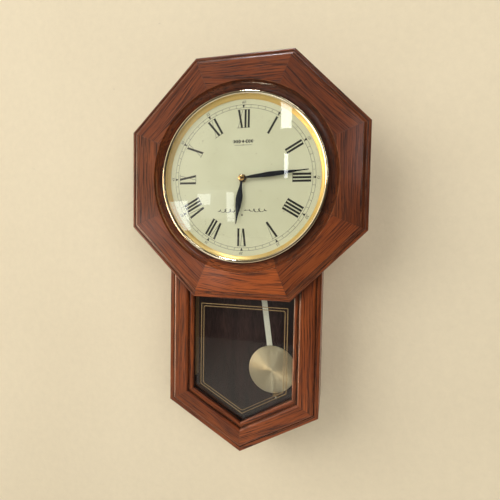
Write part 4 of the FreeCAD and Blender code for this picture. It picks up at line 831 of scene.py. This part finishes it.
def hand_pose(node):
    """Length in millimetres and clock angle of a CAD hand, from its farthest point."""
    far, angle = 0.0, 0.0
    for vertex in NODES[node].data.vertices:
        x, z = vertex.co.x - AXIS_X, vertex.co.z - AXIS_Z
        if x * x + z * z > far:
            far, angle = x * x + z * z, math.atan2(x, z)
    return math.sqrt(far) / MM, math.degrees(angle)


def eased(stations, t):
    """Smooth value between stations of (position, value)."""
    for (start, first), (end, second) in zip(stations, stations[1:]):
        if t <= end:
            share = (t - start) / (end - start)
            share = share * share * (3 - 2 * share)
            return first + (second - first) * share
    return stations[-1][1]


def leaf_hand(name, body, stations, hub, front, thick, material):
    """Pressed leaf hand with a ridge down its middle and a round hub."""
    length, turn = hand_pose(name)
    shape = Shape()
    points, faces = [], []
    steps = 48
    for step in range(steps + 1):
        out = 2.0 + (length - 2.0) * step / steps
        half = max(eased(stations, out / length), 0.05)
        ridge = front + max(0.0, 0.30 - 0.06 * half)
        for across, depth in ((-half, front + 0.34), (0, ridge - 0.12), (half, front + 0.34),
                              (half, front + thick), (-half, front + thick)):
            x, z = polar(across, out, turn)
            points.append(spot(x, z, depth))
    for step in range(steps):
        here = 5 * step
        for corner in range(5):
            after = (corner + 1) % 5
            faces.append((here + corner, here + after, here + 5 + after, here + 5 + corner))
    last = 5 * steps
    faces += [(4, 3, 2, 1, 0), (last, last + 1, last + 2, last + 3, last + 4)]
    shape.add(points, faces)
    bore, outside = hub
    shape.lathe([(bore, front + 0.05), (outside - 0.3, front + 0.05), (outside, front + 0.25),
                 (outside, front + thick), (bore, front + thick)], steps=64)
    shape.make(f"{name}_leaf", body, material, [name], smooth=25)


def hands():
    lacquer = hand_lacquer()
    leaf_hand("hour_hand", "hour_hand",
              ((0, 1.5), (0.10, 1.6), (0.45, 4.9), (0.60, 4.2), (0.76, 2.2), (0.90, 1.2),
               (0.985, 0.7), (1, 0.4)),
              (2.6, 5.4), 4.4, 0.5, lacquer)
    leaf_hand("minute_hand", "minute_hand",
              ((0, 1.3), (0.08, 1.4), (0.17, 2.3), (0.28, 2.9), (0.43, 3.6), (0.56, 3.3),
               (0.73, 2.0), (0.86, 1.1), (0.92, 0.8), (0.99, 0.7), (1, 0.5)),
              (1.6, 5.0), 2.0, 0.5, lacquer)
    cap = Shape()
    profile = [(1e-3, -1.5)]
    for step in range(1, 13):
        lean = math.pi / 2 * step / 12
        profile.append((4.35 * math.sin(lean), 1.2 - 2.7 * math.cos(lean)))
    profile += [(4.35, 1.98), (1.65, 1.98), (1.65, -0.25), (1e-3, -0.25)]
    cap.lathe(profile, steps=64)
    brass = metal("cap brass", (0.88, 0.58, 0.28), (0.74, 0.45, 0.18), 0.16, 0.08, 200)
    cap.make("hand_cap", "minute_hand", brass, ["hand_nut"], smooth=40)


# ---------------------------------------------------------------- pendulum

def bob_face():
    low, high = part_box("bob_cover")
    centre = (low + high) / 2
    radius = (high.x - low.x) / 2 / MM
    front, back = (low.y - FACE_Y) / MM, (high.y - FACE_Y) / MM
    rise = back - front - 0.8
    middle = ((centre.x - AXIS_X) / MM, (centre.z - AXIS_Z) / MM)
    sphere = (radius ** 2 + rise ** 2) / (2 * rise)
    profile = []
    for step in range(33):
        reach = max((radius - 0.5) * step / 32, 1e-3)
        profile.append((reach, front + sphere - math.sqrt(sphere ** 2 - reach ** 2)))
    profile += [(radius - 0.15, back - 0.72), (radius, back - 0.5), (radius, back),
                (radius - 0.8, back)]
    for step in range(32, -1, -1):
        reach = max((radius - 1.0) * step / 32, 1e-3)
        profile.append((reach, front + 0.75 + sphere - math.sqrt(sphere ** 2 - reach ** 2)))
    shape = Shape()
    shape.lathe(profile, middle, steps=128)
    brass = turned_brass("spun brass", (1.0, 0.88, 0.62), (0.86, 0.71, 0.45), 0.38, 1.0, centre, 0.85)
    shape.make("bob_face", "bob", brass, ["bob_cover"], smooth=40)


# ---------------------------------------------------------------- window

BORDER_HALF, BORDER_TOP, BORDER_SHOULDER, BORDER_TIP = 66.5, -186.0, -312.0, -350.4


def window_border():
    """Double gold line on the back of the glass, the inner one's corners rounded the more."""
    behind = (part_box("window_glass")[1].y - FACE_Y) / MM
    shape = Shape()
    outer = [(-BORDER_HALF, BORDER_TOP), (BORDER_HALF, BORDER_TOP), (BORDER_HALF, BORDER_SHOULDER),
             (0, BORDER_TIP), (-BORDER_HALF, BORDER_SHOULDER)]
    for inset, width, bend in ((0.0, 1.05, 0.6), (3.9, 0.95, 3.0)):
        line = rounded_line(shrink(outer, inset), bend)
        line.append(line[0])
        line.append(line[1])
        shape.strip(line, [width] * len(line), behind, behind + 0.04)
    shape.make("window_border", "clock", gold_line("gold border"))


def shrink(corners, inset):
    """Outline moved in by the inset, its corners listed clockwise from the front."""
    moved = []
    count = len(corners)
    for index in range(count):
        before, here, after = (Vector(corners[(index + k) % count]) for k in (-1, 0, 1))
        one, two = (here - before).normalized(), (after - here).normalized()
        first, second = Vector((one.y, -one.x)), Vector((two.y, -two.x))
        lean = (first + second).normalized()
        moved.append(tuple(here + lean * (inset / lean.dot(first))))
    return moved


def rounded_line(corners, bend):
    """Outline with each corner cut to a short curve."""
    line = []
    count = len(corners)
    for index in range(count):
        before, here, after = (Vector(corners[(index + k) % count]) for k in (-1, 0, 1))
        start = here + (before - here).normalized() * bend
        end = here + (after - here).normalized() * bend
        for step in range(7):
            t = step / 6
            line.append(tuple(start * (1 - t) ** 2 + here * 2 * t * (1 - t) + end * t * t))
    return line


# ---------------------------------------------------------------- surroundings

def stage_plane(name, corners, material):
    mesh = bpy.data.meshes.new(name)
    mesh.from_pydata(corners, [], [(0, 1, 2, 3)])
    plane = bpy.data.objects.new(name, mesh)
    mesh.materials.append(material)
    bpy.context.scene.collection.objects.link(plane)
    return plane


def plaster(name, light, dark, one_sided):
    """Plain pale paint. A one-sided wall is open from behind, so it never hides the clock's back."""
    finish = Finish(name)
    where = finish.place()
    tone = finish.noise(where, 3, 3)
    trowel = finish.noise(where, 120, 4, 0.6)
    nicks = finish.ramp(finish.noise(where, 46, 3, 0.75), (0.70, 0), (0.76, 0.35))
    colour = finish.ramp(tone, (0.3, dark), (0.7, light))
    mottle = finish.ramp(finish.noise(where, 75, 4, 0.7), (0.3, 0.955), (0.7, 1.0))
    colour = finish.blend(1.0, colour, mottle, "MULTIPLY")
    colour = finish.blend(nicks, colour, tuple(0.6 * value for value in dark))
    finish.surface(Base_Color=colour, Roughness=0.85, Normal=finish.bump(trowel, 0.0012, 0.5))
    if one_sided:
        solid = finish.output.inputs["Surface"].links[0].from_socket
        back = finish.node("ShaderNodeNewGeometry").outputs["Backfacing"]
        clear = finish.node("ShaderNodeBsdfTransparent")
        mix = finish.node("ShaderNodeMixShader", {0: back, 1: solid, 2: clear.outputs[0]})
        finish.tree.links.new(mix.outputs[0], finish.output.inputs["Surface"])
    return finish.material


def surroundings():
    paint_tone = (0.83, 0.745, 0.560), (0.795, 0.71, 0.530)
    wide, top, floor, behind = 4.0, 2.5, -1.6, 0.0006
    wall = stage_plane("backdrop_wall", [
        (-wide, behind, floor), (wide, behind, floor), (wide, behind, top), (-wide, behind, top)],
        plaster("wall paint", *paint_tone, True))
    wall.visible_shadow = False
    wall.visible_diffuse = False
    stage_plane("floor", [(-wide, -wide, floor), (wide, -wide, floor), (wide, wide, floor),
                          (-wide, wide, floor)],
                plaster("floor paint", (0.74, 0.72, 0.68), (0.70, 0.68, 0.64), False))


def lamp(name, where, aim, size, power, colour=(1, 1, 1), lights=True, mirrored=False):
    """Area light, which may light dull surfaces, show in glass and gloss, or both."""
    light = bpy.data.lights.new(name, "AREA")
    light.shape = "RECTANGLE"
    light.size, light.size_y = size
    light.energy = power
    light.color = colour
    holder = bpy.data.objects.new(name, light)
    holder.location = where
    holder.rotation_mode = "QUATERNION"
    holder.rotation_quaternion = (Vector(aim) - Vector(where)).to_track_quat("-Z", "Y")
    holder.visible_glossy = mirrored
    holder.visible_diffuse = lights
    bpy.context.scene.collection.objects.link(holder)


def lights():
    """Two soft lamps that gloss doesn't show, one behind that it does, and panes that light only it."""
    clock = (0, -0.08, -0.2)
    lamp("window_left", (-2.0, -2.1, 1.2), clock, (2.6, 2.4), 64, (1.0, 0.965, 0.91))
    lamp("front_fill", (1.3, -2.2, 0.5), clock, (2.0, 2.0), 34, (1.0, 0.955, 0.89))
    lamp("rear_fill", (0.9, 1.5, 0.5), clock, (1.2, 1.2), 26, mirrored=True)
    panes = (
        ("high_pane", (0.26, -1.9, 1.48), (0.20, 0.72), 3.0),
        ("side_strip", (0.28, -1.9, 0.36), (0.06, 0.40), 0.5),
        ("far_pane", (-1.23, -1.9, -0.17), (0.28, 0.20), 0.45),
        ("near_pane", (-0.66, -1.9, -0.31), (0.13, 0.50), 0.55),
        ("edge_pane", (-2.05, -1.9, -0.52), (0.52, 0.66), 4.2),
        ("soft_pane", (-0.98, -1.9, -0.26), (0.60, 0.50), 0.4),
        ("ceiling_strip", (-0.36, -0.9, 2.1), (0.10, 1.0), 30.0),
    )
    for name, where, size, power in panes:
        lamp(name, where, clock, size, power, (0.95, 0.98, 1.0), lights=False, mirrored=True)
    lamp("side_sheen", (-2.7, -0.85, -0.5), clock, (0.7, 2.2), 80, (1.0, 0.74, 0.48),
         lights=False, mirrored=True)


class Sky(Finish):
    """The world's nodes, built as a material's are."""

    def __init__(self, name):
        self.world = bpy.data.worlds.new(name)
        self.world.use_nodes = True
        self.tree = self.world.node_tree
        self.tree.nodes.clear()
        self.output = self.tree.nodes.new("ShaderNodeOutputWorld")


def room():
    """Soft surroundings: bright on the left, dim below."""
    sky = Sky("room")
    where = sky.node("ShaderNodeTexCoord").outputs["Generated"]
    bright_side = Vector((-0.95, -0.25, 0.15)).normalized()
    toward = sky.node("ShaderNodeVectorMath", {0: where, 1: bright_side},
                      operation="DOT_PRODUCT").outputs["Value"]
    share = sky.node("ShaderNodeMapRange", {"Value": toward, "From Min": -1.0}).outputs["Result"]
    colour = sky.ramp(share, (0.45, (0.040, 0.035, 0.030)), (0.84, (0.13, 0.12, 0.105)),
                      (0.97, (0.95, 0.86, 0.72)))
    height = sky.node("ShaderNodeSeparateXYZ", {0: where}).outputs["Z"]
    strength = sky.node("ShaderNodeMapRange", {
        "Value": height, "From Min": -0.5, "From Max": 0.4, "To Min": 0.35, "To Max": 1.5,
    }).outputs["Result"]
    shade = sky.node("ShaderNodeBackground", {"Color": colour, "Strength": strength})
    sky.tree.links.new(shade.outputs[0], sky.output.inputs["Surface"])
    bpy.context.scene.world = sky.world
    bpy.context.scene.view_settings.view_transform = "Standard"


EYE = (0.1301, -0.5732, -0.1776)
EYE_YAW, EYE_PITCH, EYE_ROLL = 13.63, 2.73, 1.0
EYE_LENS, EYE_SENSOR = 25.2, 36


def camera():
    """Camera a little to the right of the clock, level with the dial's lower half."""
    yaw, pitch, roll = math.radians(EYE_YAW), math.radians(EYE_PITCH), math.radians(EYE_ROLL)
    ahead = Vector((-math.sin(yaw) * math.cos(pitch), math.cos(yaw) * math.cos(pitch),
                    -math.sin(pitch)))
    right = Vector((math.cos(yaw), math.sin(yaw), 0))
    up = right.cross(ahead)
    tilted = right * math.cos(roll) + up * math.sin(roll)
    upright = up * math.cos(roll) - right * math.sin(roll)
    pose = Matrix((tilted, upright, -ahead)).transposed().to_4x4()
    pose.translation = EYE
    data = bpy.data.cameras.new("camera")
    data.lens = EYE_LENS
    data.sensor_width = EYE_SENSOR
    data.clip_start = 0.01
    holder = bpy.data.objects.new("camera", data)
    holder.matrix_world = pose
    bpy.context.scene.collection.objects.link(holder)
    bpy.context.scene.camera = holder


paint_wood()
paint_works()
dial_print()
dial_figures()
dial_ornament()
bezel()
crystal()
reflector()
hands()
bob_face()
window_border()
surroundings()
lights()
room()
camera()
